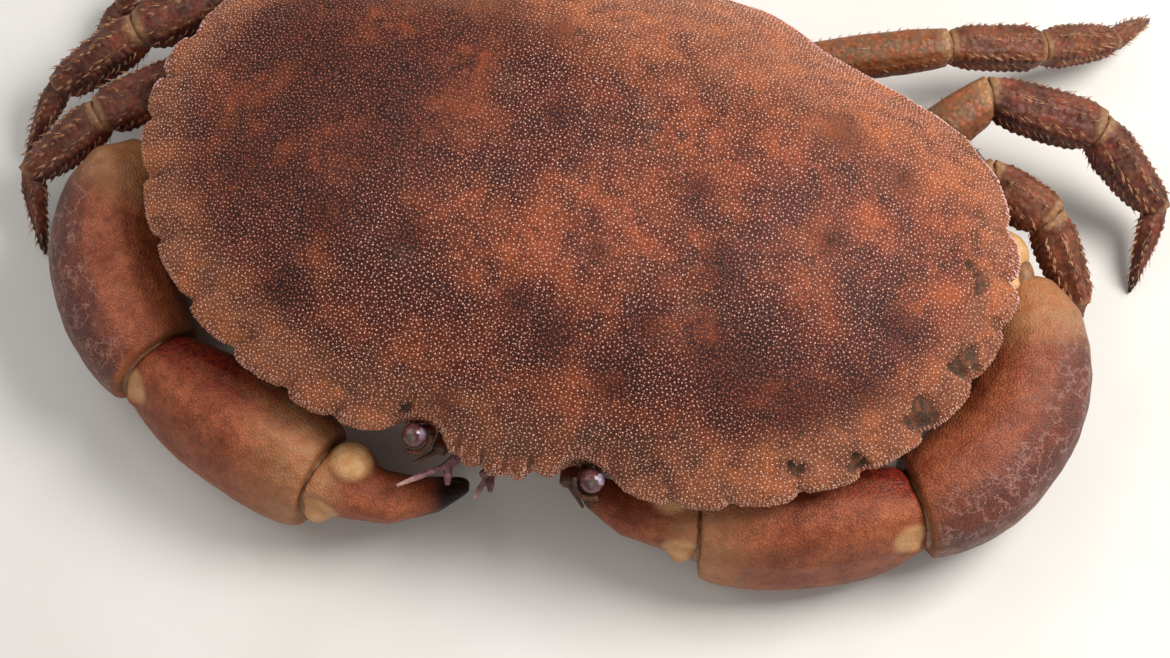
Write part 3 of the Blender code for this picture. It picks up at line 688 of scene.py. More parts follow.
# %% [markdown]
# The rim itself carries a close string of beads, tan in front and a paler rose where it runs back
# from the side of the shell. They could be set along a drawn line, but that would miss the lobes.
# So the outermost point of the skin is found for each small turn around the shell, and a bead is set
# wherever the last one is far enough away, so that the string follows every lobe and notch.

# %% Rim beads
RIM_STEP = 0.62
RIM_BEAD = (0.22, 0.32)
RIM_ROWS = (0.0, 0.62)
RIM_TURNS = 1400
RIM_BREAK = 4.0
RIM_ENDS = 80.0
UPPER_EDGE = 0.3


def rim_places(item, turns):
    """Outermost points of the shell, one for each small turn."""
    places = points_of(item)[0]
    flat = places[:, :2] - np.array((0.0, SHELL_MIDDLE))
    reach = np.hypot(flat[:, 0], flat[:, 1]) + UPPER_EDGE * places[:, 2]
    turn = (np.arctan2(flat[:, 1], flat[:, 0]) + math.pi) / (2.0 * math.pi)
    turn = (turn * turns).astype(int) % turns
    order = np.lexsort((reach, turn))
    last = np.append(np.nonzero(np.diff(turn[order]))[0], len(order) - 1)
    return places[order[last]]


def string_rim(name, item, first, last):
    """Two rows of beads along the rim, for the places whose y lies between two numbers."""
    rng = random.Random(8)
    body = bmesh.new()
    before = None
    for place in rim_places(item, RIM_TURNS):
        here = Vector(place)
        if not first <= here.y < last:
            continue
        if before is not None and (here - before).length < RIM_STEP:
            continue
        before = here
        for lift in RIM_ROWS:
            size = rng.uniform(*RIM_BEAD) * (1.0 - 0.3 * lift)
            inward = Vector((-here.x, SHELL_MIDDLE - here.y, 0.0)).normalized() * (0.1 + lift * 0.5)
            seat = spot(*(here + inward + Vector((0.0, 0.0, lift + 0.2))))
            bmesh.ops.create_icosphere(body, subdivisions=1, radius=size * MM,
                                       matrix=Matrix.Translation(seat))
    return make_piece(name, body)


def rim_paint(name, low, high):
    finish = Finish(name, 0.36)
    finish.colour(finish.steps(finish.noise(5.0, 3.0, 0.6), (0.35, low), (0.62, high)))
    finish.gloss(finish.noise(3.0), 0.28, 0.5)
    finish.raise_by(finish.noise(0.3, 2.0), 0.02)
    return finish


tan = rim_paint("rim_tan", ink(150, 98, 74), ink(194, 146, 122))
dress(string_rim("grains_rim_front", shell, -RIM_ENDS, RIM_BREAK), tan)
rose = rim_paint("rim_rose", ink(186, 134, 126), ink(226, 188, 186))
dress(string_rim("grains_rim_back", shell, RIM_BREAK, RIM_ENDS), rose)

# %% [markdown]
# ## 6. The claws
# Each claw arm is a chain of rounded plates. Their skin is not grained but finely netted, pinkish
# brown outside and dark red on the side that faces the shell, with ivory knobs where two plates
# bear on each other and dark, horny finger tips. Relief as fine as the net would need millions of
# faces, so the net comes from small cells in the finish, and the other marks are painted.

# %% Claw finish
CLAY, CLAY_LOW, WINE, MAUVE = ink(168, 92, 58), ink(132, 62, 36), ink(142, 44, 24), ink(102, 60, 52)
IVORY, IVORY_LOW, HORN = ink(218, 178, 126), ink(196, 138, 84), ink(32, 20, 16)
VEIN, PIT = ink(168, 124, 110), ink(84, 28, 18)
NET = 0.52


def claw_paint(name):
    finish = Finish(name, 0.42, 0.2)
    band, pale, dark, mauve = finish.marks()
    cloud = finish.noise(9.0, 5.0, 0.6)
    colour = finish.steps(cloud, (0.35, CLAY_LOW), (0.65, CLAY))
    broken = finish.steps(cloud, (0.3, 0.45), (0.6, 1.0))
    colour = finish.mix(finish.both(mauve, broken), colour, MAUVE)
    veins = finish.steps(finish.noise(6.0, 3.0, 0.6), (0.47, 0.0), (0.5, 0.7), (0.53, 0.0))
    colour = finish.mix(finish.both(mauve, veins), colour, VEIN)
    flecks = finish.steps(finish.noise(2.4, 4.0, 0.65), (0.34, 0.72), (0.6, 1.12))
    colour = finish.mix(0.9, colour, flecks, "MULTIPLY")
    pits = finish.steps(finish.noise(1.1, 2.0, 0.6), (0.4, PIT), (0.56, WINE))
    colour = finish.mix(band, colour, pits)
    net = finish.steps(finish.cells(NET), (0.12, 1.3), (0.5, 0.66))
    colour = finish.mix(0.85, colour, net, "MULTIPLY")
    ivory = finish.steps(finish.noise(3.0, 3.0), (0.3, IVORY_LOW), (0.7, IVORY))
    colour = finish.mix(pale, colour, ivory)
    finish.colour(finish.mix(dark, colour, HORN))
    finish.raise_by(finish.cells(NET), -0.2)
    finish.raise_by(finish.noise(5.0, 4.0), 0.3)
    finish.gloss(finish.noise(2.5, 3.0), 0.32, 0.56)
    return finish


claw_finish = claw_paint("claw_clay_red")
print("finish:", claw_finish.material.name)

# %% Claw plates
CLAW_VOXEL = {"base": 1.0, "merus": 0.9, "carpus": 0.8, "palm": 0.75, "dactyl": 0.5}
KNOB_REACH, BEARING_REACH, DOME_REACH = 5.0, 5.4, 7.0
ELBOW_REACH, WRIST_REACH = 22.0, 15.0
CLAW_SPOTS = {
    "left": {"elbow": (107.0, 14.0, 22.5), "wrist": (92.0, -41.5, 18.0), "knuckle": (45.0, -57.2, 17.0),
             "tip": (16.0, -53.0, 11.0), "knob": (92.1, -50.9, 24.9), "dome": (38.0, -54.7, 30.2),
             "bearing": (42.7, -65.2, 22.6)},
    "right": {"elbow": (-105.0, -6.5, 20.5), "wrist": (-87.0, -53.0, 18.0), "knuckle": (-41.5, -69.5, 17.0),
              "tip": (-10.0, -61.0, 11.0), "knob": (-87.8, -61.4, 25.2), "dome": (-34.2, -65.6, 30.4),
              "bearing": (-38.8, -78.0, 22.6)},
}


def palm_marks(places, ways, spots, part):
    """Red inner band, pale knobs and dark finger tips of the hand."""
    share = along(places, spots["knuckle"], spots["tip"])[0]
    red = ease(-0.1, 0.6, ways[:, 1]) * ease(-0.3, 0.4, ways[:, 2]) * (1.0 - ease(-0.3, 0.2, share))
    dark = ease(0.66, 0.86, share)
    knob = near_point(places, spots["knob"], KNOB_REACH)
    bearing = near_point(places, spots["bearing"], BEARING_REACH)
    pale = 0.65 * np.maximum(knob, bearing)
    if part == "dactyl":
        pale = np.maximum(pale, 0.75 * near_point(places, spots["dome"], DOME_REACH))
    end = 0.3 * ease(-0.7, -0.15, share) * (1.0 - ease(-0.05, 0.2, share))
    return red, np.maximum(pale, end), dark


def carpus_marks(places, ways, spots, side):
    """Mauve outer side, orange inner side and a pale end at the elbow."""
    outward = 1.0 if side == "left" else -1.0
    mauve = ease(-0.25, 0.55, ways[:, 0] * outward - 0.35 * ways[:, 1])
    pale = 0.3 * near_point(places, spots["elbow"], ELBOW_REACH)
    pale = np.maximum(pale, 0.2 * near_point(places, spots["wrist"], WRIST_REACH))
    return NONE, pale, NONE, mauve * (1.0 - pale)


def claw_marks(item, part, side):
    places, ways = points_of(item)
    spots = CLAW_SPOTS[side]
    if part in ("palm", "dactyl"):
        paint_marks(item, palm_marks(places, ways, spots, part))
    elif part == "carpus":
        paint_marks(item, carpus_marks(places, ways, spots, side))
    else:
        paint_marks(item, [NONE, 0.9 * ease(70.0, 98.0, np.abs(places[:, 0]))])


def make_claw_plate(part, side):
    node = "claw_" + part + "_" + side
    item = smooth_skin(node + "_plate", CLAW_VOXEL[part], 12, [(8.0, 0.5)], node)
    claw_marks(item, part, side)
    dress(item, claw_finish, node)


for side in ("left", "right"):
    for part in CLAW_VOXEL:
        make_claw_plate(part, side)

# %% [markdown]
# ## 7. The walking legs
# The legs are darker and rougher than the claws: lengthwise ridges, small warts and rows of stiff
# golden bristles. A sculpted ridge would have to be made forty times over. Here the ridges are raised
# on the smoothed skin by the angle around the leg's own line, so one short function serves them all.

# %% Leg lines
LEGS = {
    "1_left": [(40, 4, 15), (54, 9, 17.5), (92, 38, 29), (106.5, 33, 27), (119, 20, 13),
               (117, 9, 0.5)],
    "2_left": [(40, 18, 15), (54, 23.5, 18), (87, 58, 31), (113.5, 58.5, 27), (133, 49, 12),
               (132.5, 31, 0.5)],
    "3_left": [(36, 31, 11), (47, 39, 10.5), (72, 52, 14), (88, 46, 12.5), (93, 30, 8),
               (86, 15, 0.5)],
    "4_left": [(25, 39, 15), (33, 57, 20.5), (75, 72, 25), (97, 80, 20), (115, 92, 11),
               (124, 106, 0.5)],
    "1_right": [(-40, 3, 15), (-54, 6.5, 17.5), (-99, 16, 29), (-117, 1.5, 26), (-132.5, -13, 14),
                (-127, -28, 0.5)],
    "2_right": [(-40, 17, 15), (-54, 21.5, 18), (-93, 42, 30), (-115, 25, 27), (-134, 11, 13),
                (-140, -5, 0.5)],
    "3_right": [(-36, 31, 11), (-47, 39, 11), (-87, 59, 19), (-110, 50, 17), (-128, 38, 8),
                (-134, 24, 0.5)],
    "4_right": [(-25, 39, 15), (-32, 53, 20.5), (-72, 76, 25), (-92, 88, 20), (-108, 102, 11),
                (-116, 116, 0.5)],
}
LEG_PARTS = ("base", "merus", "carpus", "propodus", "dactyl")
LEG_VOXEL = {"base": 0.8, "merus": 0.65, "carpus": 0.55, "propodus": 0.5, "dactyl": 0.32}
KNOB_STEP = 1.9
RIDGES = {"base": (4, 0.1), "merus": (4, 0.18), "carpus": (6, 0.3), "propodus": (6, 0.34),
          "dactyl": (6, 0.24)}


def around(places, start, end):
    """Angle around a leg's line and share along it."""
    start, end = np.array(start, dtype=float), np.array(end, dtype=float)
    line = (end - start) / np.linalg.norm(end - start)
    side = np.cross(line, (0.0, 0.0, 1.0))
    side /= np.linalg.norm(side)
    over = np.cross(side, line)
    off = places - start
    share = off @ line / np.linalg.norm(end - start)
    return np.arctan2(off @ over, off @ side), share


def raise_ridges(item, part, start, end):
    """Lengthwise ridges, knobbed once for each bunch of bristles. Gives the share along the part."""
    angle, share = around(points_of(item)[0], start, end)
    count, height = RIDGES[part]
    fade = ease(0.0, 0.14, share) * (1.0 - ease(0.86, 1.0, share))
    ridge = np.cos(count * (angle - math.pi / 2.0))
    length = np.linalg.norm(np.array(end) - np.array(start))
    knob = np.cos(2.0 * math.pi * share * length / KNOB_STEP) * np.clip(ridge, 0.0, 1.0)
    push_points(item, height * fade * (ridge + 0.7 * knob))
    return share


print("legs:", len(LEGS), "plates in each:", len(LEG_PARTS))


# %% Leg finish
LEG_DEEP, LEG_RUST, LEG_WARM = ink(58, 20, 13), ink(94, 38, 26), ink(142, 68, 46)
LEG_ORANGE, LEG_SILT = ink(156, 86, 46), ink(116, 88, 62)
LEG_END, LEG_TIP = ink(190, 148, 100), ink(40, 24, 18)
WART = 1.2

leg_finish = Finish("leg_rust_brown", 0.5)
orange, pale, dark, silt = leg_finish.marks()
cloud = leg_finish.noise(6.0, 5.0, 0.65)
colour = leg_finish.steps(cloud, (0.32, LEG_DEEP), (0.5, LEG_RUST), (0.7, LEG_WARM))
broken = leg_finish.steps(cloud, (0.3, 0.5), (0.6, 1.0))
colour = leg_finish.mix(leg_finish.both(orange, broken), colour, LEG_ORANGE)
flecks = leg_finish.steps(leg_finish.noise(2.0, 4.0), (0.4, 0.0), (0.6, 1.0))
colour = leg_finish.mix(leg_finish.both(silt, flecks), colour, LEG_SILT)
colour = leg_finish.mix(pale, colour, LEG_END)
wart = leg_finish.steps(leg_finish.cells(WART), (0.1, 1.35), (0.5, 0.7))
colour = leg_finish.mix(0.7, colour, wart, "MULTIPLY")
leg_finish.colour(leg_finish.mix(dark, colour, LEG_TIP))
leg_finish.raise_by(leg_finish.cells(WART), -0.2)
leg_finish.raise_by(leg_finish.noise(0.8, 3.0), 0.08)
leg_finish.gloss(leg_finish.noise(2.0, 3.0), 0.38, 0.66)
print("finish:", leg_finish.material.name)

# %% Leg plates
LEG_LUMPS = [(4.0, 0.35)]
WARM_LEGS = ("1_left", "4_left")
leg_skins = {}


def make_leg_plate(leg, part):
    """One plate, orange near the body, pale at its ends, silty on top and dark at the tip."""
    node = part + "_" + leg
    index = LEG_PARTS.index(part)
    item = smooth_skin(node + "_plate", LEG_VOXEL[part], 5, LEG_LUMPS, node)
    share = raise_ridges(item, part, LEGS[leg][index], LEGS[leg][index + 1])
    orange = 0.9 if part in ("base", "merus") else (0.3 if leg in WARM_LEGS else NONE)
    ends, tip = NONE, NONE
    if part == "dactyl":
        tip = ease(0.62, 0.86, share)
    else:
        ends = 0.4 * np.maximum(1.0 - ease(0.0, 0.07, share), ease(0.93, 1.0, share))
    upper = ease(0.2, 0.8, points_of(item)[1][:, 2])
    paint_marks(item, [orange, ends, tip, upper * (0.85 if part == "merus" else 0.4)])
    dress(item, leg_finish, node)
    leg_skins[node] = item


for leg in LEGS:
    for part in LEG_PARTS:
        make_leg_plate(leg, part)

# %% [markdown]
# ## 8. Skin between the plates
# Where two plates meet, a real limb shows a ring of soft pale skin. It could be a folded sleeve from
# plate to plate, but only a sliver of it is ever seen. So a short rounded plug sits in each joint, a
# little slimmer than the plates around it, and shows only in the seam.

# %% Joint skin
# The joint skin is painted a darker brown than its own pale colour: painted shade, so that it reads as a
# dark gap in the seams.
joint_finish = Finish("joint_ivory", 0.5)
cloud = joint_finish.noise(2.5, 4.0)
joint_finish.colour(joint_finish.steps(cloud, (0.3, ink(98, 62, 42)), (0.7, ink(160, 118, 80))))
joint_finish.raise_by(joint_finish.noise(1.2, 3.0), 0.15)
joint_finish.gloss(joint_finish.noise(2.0), 0.4, 0.6)
LEG_GIRTH = {"1": 5.7, "2": 6.0, "3": 5.4, "4": 5.2}
JOINT_SHARE = (0.84, 0.86, 0.8, 0.54)
PLUG_SLIM = 0.9
PLUG_LONG = 0.42


def add_plug(body, place, heading, radii):
    """A rounded plug whose third radius lies along the limb."""
    turn = Vector(heading).to_track_quat("Z", "Y").to_matrix().to_4x4()
    size = Matrix.Diagonal([radius * MM for radius in radii] + [1.0])
    bmesh.ops.create_uvsphere(body, u_segments=18, v_segments=10, radius=1.0,
                              matrix=Matrix.Translation(spot(*place)) @ turn @ size)


def make_leg_joints(leg):
    body = bmesh.new()
    points = [Vector(point) for point in LEGS[leg]]
    for index in range(1, 5):
        heading = (points[index + 1] - points[index]).normalized()
        heading += (points[index] - points[index - 1]).normalized()
        wide = LEG_GIRTH[leg[0]] * JOINT_SHARE[index - 1] * PLUG_SLIM
        add_plug(body, points[index], heading, (wide, wide, wide * PLUG_LONG))
    item = make_piece("joint_skin_" + leg, body)
    dress(item, joint_finish)


for leg in LEGS:
    make_leg_joints(leg)

# %% Claw joint skin
CLAW_PLUG_LONG = 3.4
CLAW_JOINTS = {
    "left": [((51.0, -11.5, 15.5), (24, 14, 3), (7.6, 7.6)),
             ((104.5, 16.5, 22.5), (10, 2, 1), (7.0, 7.0)),
             ((92.0, -41.5, 18.0), (-12, -9, 0), (9.4, 10.6)),
             ((45.0, -57.2, 17.0), (-20, -4, 0), (8.8, 11.4))],
    "right": [((-51.0, -12.5, 15.5), (-21, 3, 2), (7.6, 7.6)),
              ((-103.0, -6.5, 20.5), (-10, 0, 1), (7.0, 7.0)),
              ((-87.0, -53.0, 18.0), (11, -8, 0), (9.4, 10.6)),
              ((-41.5, -69.5, 17.0), (19, -5, 0), (8.8, 11.4))],
}
for side, joints in CLAW_JOINTS.items():
    body = bmesh.new()
    for place, heading, girth in joints:
        add_plug(body, place, heading, (*girth, CLAW_PLUG_LONG))
    dress(make_piece("joint_skin_claw_" + side, body), joint_finish)

# %% [markdown]
# ## 9. Belly, abdomen and mouth
# Underneath, the plates are pale cream with brown clouds. Furrows part the breast into one plate for
# each pair of legs, and the narrow abdomen is folded forward in the middle. Each furrow could be cut
# with a Boolean, but its edges would be sharp, so the furrows are pressed in as the clefts were.

# %% Belly finish
CREAM_LOW, CREAM_MID, CREAM_HIGH = ink(196, 138, 88), ink(226, 184, 132), ink(238, 208, 164)

belly_finish = Finish("belly_cream", 0.45)
brown, dark = belly_finish.marks()[:2]
cloud = belly_finish.noise(12.0, 5.0, 0.6)
colour = belly_finish.steps(cloud, (0.35, CREAM_LOW), (0.55, CREAM_MID), (0.75, CREAM_HIGH))
colour = belly_finish.mix(brown, colour, ink(128, 78, 50))
colour = belly_finish.mix(dark, colour, ink(70, 44, 30))
grain = belly_finish.steps(belly_finish.cells(1.1), (0.1, 1.15), (0.6, 0.8))
belly_finish.colour(belly_finish.mix(0.5, colour, grain, "MULTIPLY"))
belly_finish.raise_by(belly_finish.cells(1.1), -0.1)
belly_finish.gloss(belly_finish.noise(3.0), 0.36, 0.58)
print("finish:", belly_finish.material.name)

# %% Belly plates
FURROWS = [(-30.0, -24.0), (-16.0, -12.0), (-3.0, 3.0), (10.0, 19.0), (22.0, 34.0)]
FURROW_ENDS = (6.0, 48.0)
FURROW_WIDE, FURROW_DEEP = 0.9, 0.8
FLOOR_LIFT = 0.12


def furrow_share(places):
    """How much each point lies in a furrow of the breast."""
    total = np.zeros(len(places))
    flat = places * np.array((1.0, 1.0, 0.0))
    for side in (1.0, -1.0):
        for inner, outer in FURROWS:
            start = (side * FURROW_ENDS[0], inner, 0.0)
            end = (side * FURROW_ENDS[1], outer, 0.0)
            gap = along(flat, start, end)[1]
            total = np.maximum(total, np.exp(-(gap / FURROW_WIDE) ** 2))
    return total


belly = smooth_skin("breast_plate", 1.2, 6, [(9.0, 0.5)], "underbody")
places, ways = points_of(belly)
furrows = furrow_share(places) * ease(0.0, -0.4, ways[:, 2])
push_points(belly, -FURROW_DEEP * furrows)
paint_marks(belly, [0.8 * ease(14.0, 26.0, places[:, 2]), furrows])
dress(belly, belly_finish, "underbody")
for node in ("abdomen", "mouthparts"):
    item = smooth_skin(node + "_plate", 0.55, 4, [(5.0, 0.2)], node)
    heights = points_of(item)[0][:, 2]
    push_points(item, -FLOOR_LIFT * ease(0.3, 0.0, heights))
    paint_marks(item, [0.6 * ease(16.0, 24.0, heights)])
    dress(item, belly_finish, node)

# %% [markdown]
# ## 10. Eyes and feelers
# The eye is a small plum ball on a short stalk, wet and glossy, with a dull centre and a pearly
# glint. A lamp alone would move the glint with every view, so a soft one is painted as well. Each
# eye sits in a socket with a raised lip, which is a circle spun along part of a ring. The short
# feelers between the eyes are plum coloured, and the outer ones are brown at the root.

# %% Eyes
EYE_AT = (20.4, -60.2, 39.4)
EYE_FACES = {"left": (0.25, -0.45, 0.86), "right": (-0.1, -0.5, 0.86)}
EYE_REACH = 4.6
# Painted glint: the direction the pale crescent faces, up and to the right, and its strength on each eye.
GLINT_SIDE = Vector((0.80, 0.16, 0.58)).normalized()
GLINT_SHARE = {"left": 0.9, "right": 0.45}
STALK, BALL = (ink(88, 44, 34), ink(138, 82, 58)), (ink(58, 28, 32), ink(112, 66, 66))
PAINTED_GLINT, PUPIL = (ink(150, 112, 140), ink(198, 190, 208)), ink(78, 74, 60)

eye_finish = Finish("eye_wet_plum", 0.14, 0.5)
ball, glint, pupil = eye_finish.marks()[:3]
colour = eye_finish.steps(eye_finish.noise(2.0, 4.0), (0.35, STALK[0]), (0.65, STALK[1]))
plum = eye_finish.steps(eye_finish.noise(0.9, 4.0, 0.6), (0.35, BALL[0]), (0.65, BALL[1]))
colour = eye_finish.mix(ball, colour, plum)
# Painted glint colour: a pale lilac crescent laid over the ball.
painted_glint = eye_finish.steps(eye_finish.noise(1.2, 3.0), (0.35, PAINTED_GLINT[0]), (0.6, PAINTED_GLINT[1]))
colour = eye_finish.mix(glint, colour, painted_glint)
eye_finish.colour(eye_finish.mix(pupil, colour, PUPIL))
eye_finish.raise_by(eye_finish.cells(0.24), 0.01)
eye_finish.gloss(eye_finish.noise(1.0), 0.08, 0.24)
for side, sign in (("left", 1.0), ("right", -1.0)):
    item = smooth_skin("eye_" + side + "_ball", 0.22, 4, [(1.4, 0.08)], "eye_" + side)
    places, ways = points_of(item)
    centre = (sign * EYE_AT[0], EYE_AT[1], EYE_AT[2])
    facing = ways @ np.array(EYE_FACES[side])
    ball = near_point(places, centre, EYE_REACH) * ease(-0.5, -0.1, facing)
    # Painted glint mask, on the side of the ball that faces up and to the right.
    glint = GLINT_SHARE[side] * ball * ease(0.84, 0.9, ways @ np.array(GLINT_SIDE))
    pupil = 0.8 * ball * ease(0.88, 0.97, facing)
    paint_marks(item, [ball, glint, pupil])
    dress(item, eye_finish, "eye_" + side)

# %% Socket rims
SOCKET_RADIUS, SOCKET_TUBE = 3.75, 0.7
SOCKET_DROP = 0.6
SOCKET_ARC = {"left": (150.0, 280.0), "right": (262.0, 390.0)}


def make_socket(side, sign):
    """A raised lip around the lower side of one eye."""
    first, last = [math.radians(angle) for angle in SOCKET_ARC[side]]
    middle = Vector((0.0, 0.0, 0.0))
    body = bmesh.new()
    bmesh.ops.create_circle(body, cap_ends=True, segments=12, radius=SOCKET_TUBE)
    bmesh.ops.rotate(body, verts=body.verts, cent=middle, matrix=Matrix.Rotation(math.pi / 2.0, 3, "X"))
    bmesh.ops.translate(body, verts=body.verts, vec=(SOCKET_RADIUS, 0.0, 0.0))
    bmesh.ops.rotate(body, verts=body.verts, cent=middle, matrix=Matrix.Rotation(first, 3, "Z"))
    everything = body.faces[:] + body.edges[:] + body.verts[:]
    bmesh.ops.spin(body, geom=everything, cent=middle, axis=(0.0, 0.0, 1.0), angle=last - first,
                   steps=30, use_duplicate=False)
    bmesh.ops.recalc_face_normals(body, faces=body.faces)
    turn = Vector(EYE_FACES[side]).to_track_quat("Z", "Y").to_matrix().to_4x4()
    seat = Matrix.Translation(spot(sign * EYE_AT[0], EYE_AT[1], EYE_AT[2] - SOCKET_DROP))
    bmesh.ops.transform(body, matrix=seat @ turn @ Matrix.Scale(MM, 4), verts=body.verts)
    return make_piece("socket_rim_" + side, body)


for side, sign in (("left", 1.0), ("right", -1.0)):
    dress(make_socket(side, sign), shell_finish)

# %% Feelers
FEELER_LOW, FEELER_HIGH = ink(78, 40, 42), ink(132, 86, 88)
FEELER_ROOT, FEELER_TIP, FEELER_WHIP = ink(128, 68, 42), ink(176, 138, 128), ink(84, 54, 42)
FEELER_AT = {"left": (14.4, -55.6, 30.4), "right": (-14.4, -55.6, 30.4)}

feeler_finish = Finish("feeler_plum", 0.4)
outer, tips, whip = feeler_finish.marks()[:3]
cloud = feeler_finish.noise(1.5, 3.0)
colour = feeler_finish.steps(cloud, (0.35, FEELER_LOW), (0.65, FEELER_HIGH))
rings = feeler_finish.steps(feeler_finish.noise(0.5, 2.0), (0.4, 0.7), (0.6, 1.15))
colour = feeler_finish.mix(outer, colour, FEELER_ROOT)
colour = feeler_finish.mix(tips, colour, FEELER_TIP)
colour = feeler_finish.mix(whip, colour, FEELER_WHIP)
feeler_finish.colour(feeler_finish.mix(0.8, colour, rings, "MULTIPLY"))
feeler_finish.raise_by(feeler_finish.noise(0.6, 2.0), 0.06)
feeler_finish.gloss(feeler_finish.noise(1.0), 0.3, 0.5)
for side in ("left", "right"):
    for node, outer in (("antennule_" + side, False), ("antenna_" + side, True)):
        item = smooth_skin(node + "_limb", 0.2, 2, [], node)
        places = points_of(item)[0]
        reach = np.linalg.norm(places - np.array(FEELER_AT[side]), axis=1)
        tips = 0.8 * ease(-66.0, -70.0, places[:, 1])
        paint_marks(item, [1.0, NONE, ease(4.5, 6.0, reach)] if outer else [NONE, tips])
        dress(item, feeler_finish, node)

# %% [markdown]
# ## 11. Bristles
# Rows of stiff bristles follow the ridges of the legs, bunched in small tufts that lean towards the
# tip. Particle hair would be lost when the model is exported, so each tuft is a solid mesh: three
# tapered hairs in one small shape that is copied along the rows. Each tuft also gets a small patch
# on a map, at its root's place on the leg's own unwrap, so that its colour can be baked. Bristles
# that would reach the floor are left out.

# %% One tuft
TUFT_PATCH = 0.003
HAIRS = 3
HAIR_FOOT, HAIR_TIP = 0.13, 0.05
HAIR_APART = 0.16
HAIR_BOW = 0.12


def add_hair(body, rng):
    """One tapered hair, a unit tall, bent halfway and bowed along +X."""
    before = set(body.verts)
    bmesh.ops.create_cone(body, cap_ends=True, segments=3, radius1=HAIR_FOOT, radius2=HAIR_TIP, depth=1.0)
    fresh = [vert for vert in body.verts if vert not in before]
    sides = []
    for edge in body.edges:
        low, high = edge.verts
        if low in fresh and abs(low.co.z - high.co.z) > 0.5:
            sides.append(edge)
    bmesh.ops.subdivide_edges(body, edges=sides, cuts=1)
    turn = rng.uniform(0.0, FULL_TURN)
    lean, reach = rng.uniform(0.1, 0.45), rng.uniform(0.75, 1.0)
    across, aside = math.cos(turn), math.sin(turn)
    for vert in [vert for vert in body.verts if vert not in before]:
        height = (vert.co.z + 0.5) * reach
        vert.co.z = height
        vert.co.x += HAIR_APART * across + (lean * across + HAIR_BOW) * height ** 2
        vert.co.y += HAIR_APART * aside + lean * aside * height ** 2


def tuft_shape(seed):
    rng = random.Random(seed)
    body = bmesh.new()
    for number in range(HAIRS):
        add_hair(body, rng)
    mesh = bpy.data.meshes.new("tuft_shape")
    body.to_mesh(mesh)
    body.free()
    return mesh


tufts = [tuft_shape(seed) for seed in (3, 4, 5)]
print("faces in a tuft:", [len(mesh.polygons) for mesh in tufts])

# %% Planting one tuft
def plant_tuft(body, layer, mesh, root, out, lean, tall, patch):
    """Add one tuft with its foot at the root and its patch on the map."""
    side = out.cross(lean).normalized()
    turn = Matrix((side.cross(out).normalized(), side, out)).transposed().to_4x4()
    verts, faces = len(body.verts), len(body.faces)
    body.from_mesh(mesh)
    body.verts.ensure_lookup_table()
    body.faces.ensure_lookup_table()
    for face in body.faces[faces:]:
        for loop in face.loops:
            loop[layer].uv = (patch[0] + TUFT_PATCH * (0.5 + 0.4 * loop.vert.co.y),
                              patch[1] + TUFT_PATCH * (0.1 + 0.8 * loop.vert.co.z))
    place = Matrix.Translation(root) @ turn @ Matrix.Scale(tall * MM, 4)
    bmesh.ops.transform(body, matrix=place, verts=body.verts[verts:])


print("patch of one tuft on the map:", TUFT_PATCH)

# %% Planting rows
ROWS = {"merus": (90.0, 30.0, 150.0), "carpus": (90.0, 45.0, 135.0, 10.0, 170.0),
        "propodus": (90.0, 50.0, 130.0, 10.0, 170.0, 270.0, 230.0, 310.0),
        "dactyl": (90.0, 45.0, 135.0, 0.0, 180.0, 270.0)}
BUNCH_STEP = {"merus": 2.6, "carpus": 1.9, "propodus": 1.9, "dactyl": 1.9}
BUNCH = 4
BUNCH_SPREAD = 0.28
ROW_SWAY, ROW_SCATTER = 6.0, 3.0
TUFT_TALL = {"merus": (0.35, 0.6), "carpus": (0.5, 0.85), "propodus": (0.5, 0.9),
             "dactyl": (0.45, 0.8)}
TUFT_SUNK = 0.0001
FLOOR_ROOM = 2.8
RAY_OUT = 0.02


def skin_tree(item):
    body = bmesh.new()
    body.from_mesh(item.data)
    tree = BVHTree.FromBMesh(body)
    body.free()
    return tree


def map_place(cell, strip, share, angle):
    """Where a root lies on the leg's own unwrap: round the leg, then along it."""
    return cell[0] + 0.018 + 0.22 * (angle / 6.6), cell[1] + 0.012 + 0.05 * (strip + share)


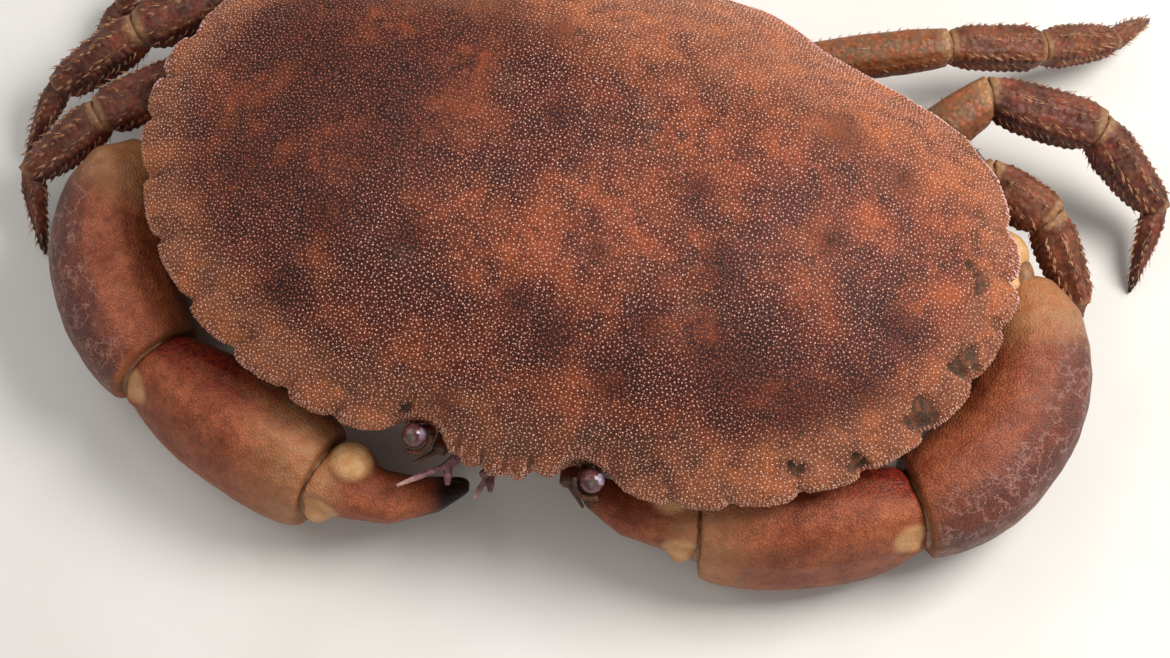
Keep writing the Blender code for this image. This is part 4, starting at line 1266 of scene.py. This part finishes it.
def plant_leg(leg, cell, rng):
    """Rows of tufts on one leg. Its parts share a cell of the map, one strip each."""
    body = bmesh.new()
    layer = body.loops.layers.uv.new("OFBake")
    planted = 0
    for strip, part in enumerate(LEG_PARTS[1:]):
        start, end = spot(*LEGS[leg][strip + 1]), spot(*LEGS[leg][strip + 2])
        line = (end - start).normalized()
        side = line.cross(Vector((0.0, 0.0, 1.0))).normalized()
        over = side.cross(line)
        tree = skin_tree(leg_skins[part + "_" + leg])
        length = (end - start).length / MM
        steps = int(length / BUNCH_STEP[part])
        for row in ROWS[part]:
            for number in range(BUNCH * (steps - 1)):
                bunch = number // BUNCH
                apart = rng.uniform(-BUNCH_SPREAD, BUNCH_SPREAD) / length
                share = 0.05 + 0.9 * (bunch + 1) / steps + apart
                sway = ROW_SWAY * math.sin(3.0 * bunch) + rng.uniform(-ROW_SCATTER, ROW_SCATTER)
                angle = math.radians(row + sway)
                out = side * math.cos(angle) + over * math.sin(angle)
                root, way = tree.ray_cast(start.lerp(end, share) + out * RAY_OUT, -out)[:2]
                if root is None or root.z < FLOOR_ROOM * MM:
                    continue
                tall = rng.uniform(*TUFT_TALL[part])
                patch = map_place(cell, strip, share, angle)
                plant_tuft(body, layer, rng.choice(tufts), root - way * TUFT_SUNK, way, line, tall, patch)
                planted += 1
    print(leg, "tufts:", planted)
    return make_piece("bristles_" + leg, body)


# %% Bristles on every leg
BRISTLE_LOW, BRISTLE_MID, BRISTLE_HIGH = ink(132, 82, 52), ink(184, 132, 92), ink(222, 184, 142)
MAP_CELL = 0.25

bristle_finish = Finish("bristle_gold", 0.55)
cloud = bristle_finish.noise(3.0, 4.0, 0.7)
colour = bristle_finish.steps(cloud, (0.35, BRISTLE_LOW), (0.52, BRISTLE_MID), (0.7, BRISTLE_HIGH))
bristle_finish.colour(colour)
bristle_finish.gloss(bristle_finish.noise(2.0), 0.45, 0.7)
bristle_finish.raise_by(bristle_finish.noise(0.4, 2.0), 0.02)
rng = random.Random(21)
for number, leg in enumerate(LEGS):
    cell = (MAP_CELL * (number % 4), MAP_CELL * (number // 4))
    dress(plant_leg(leg, cell, rng), bristle_finish)
for mesh in tufts:
    bpy.data.meshes.remove(mesh)
bpy.data.objects.remove(bead, do_unlink=True)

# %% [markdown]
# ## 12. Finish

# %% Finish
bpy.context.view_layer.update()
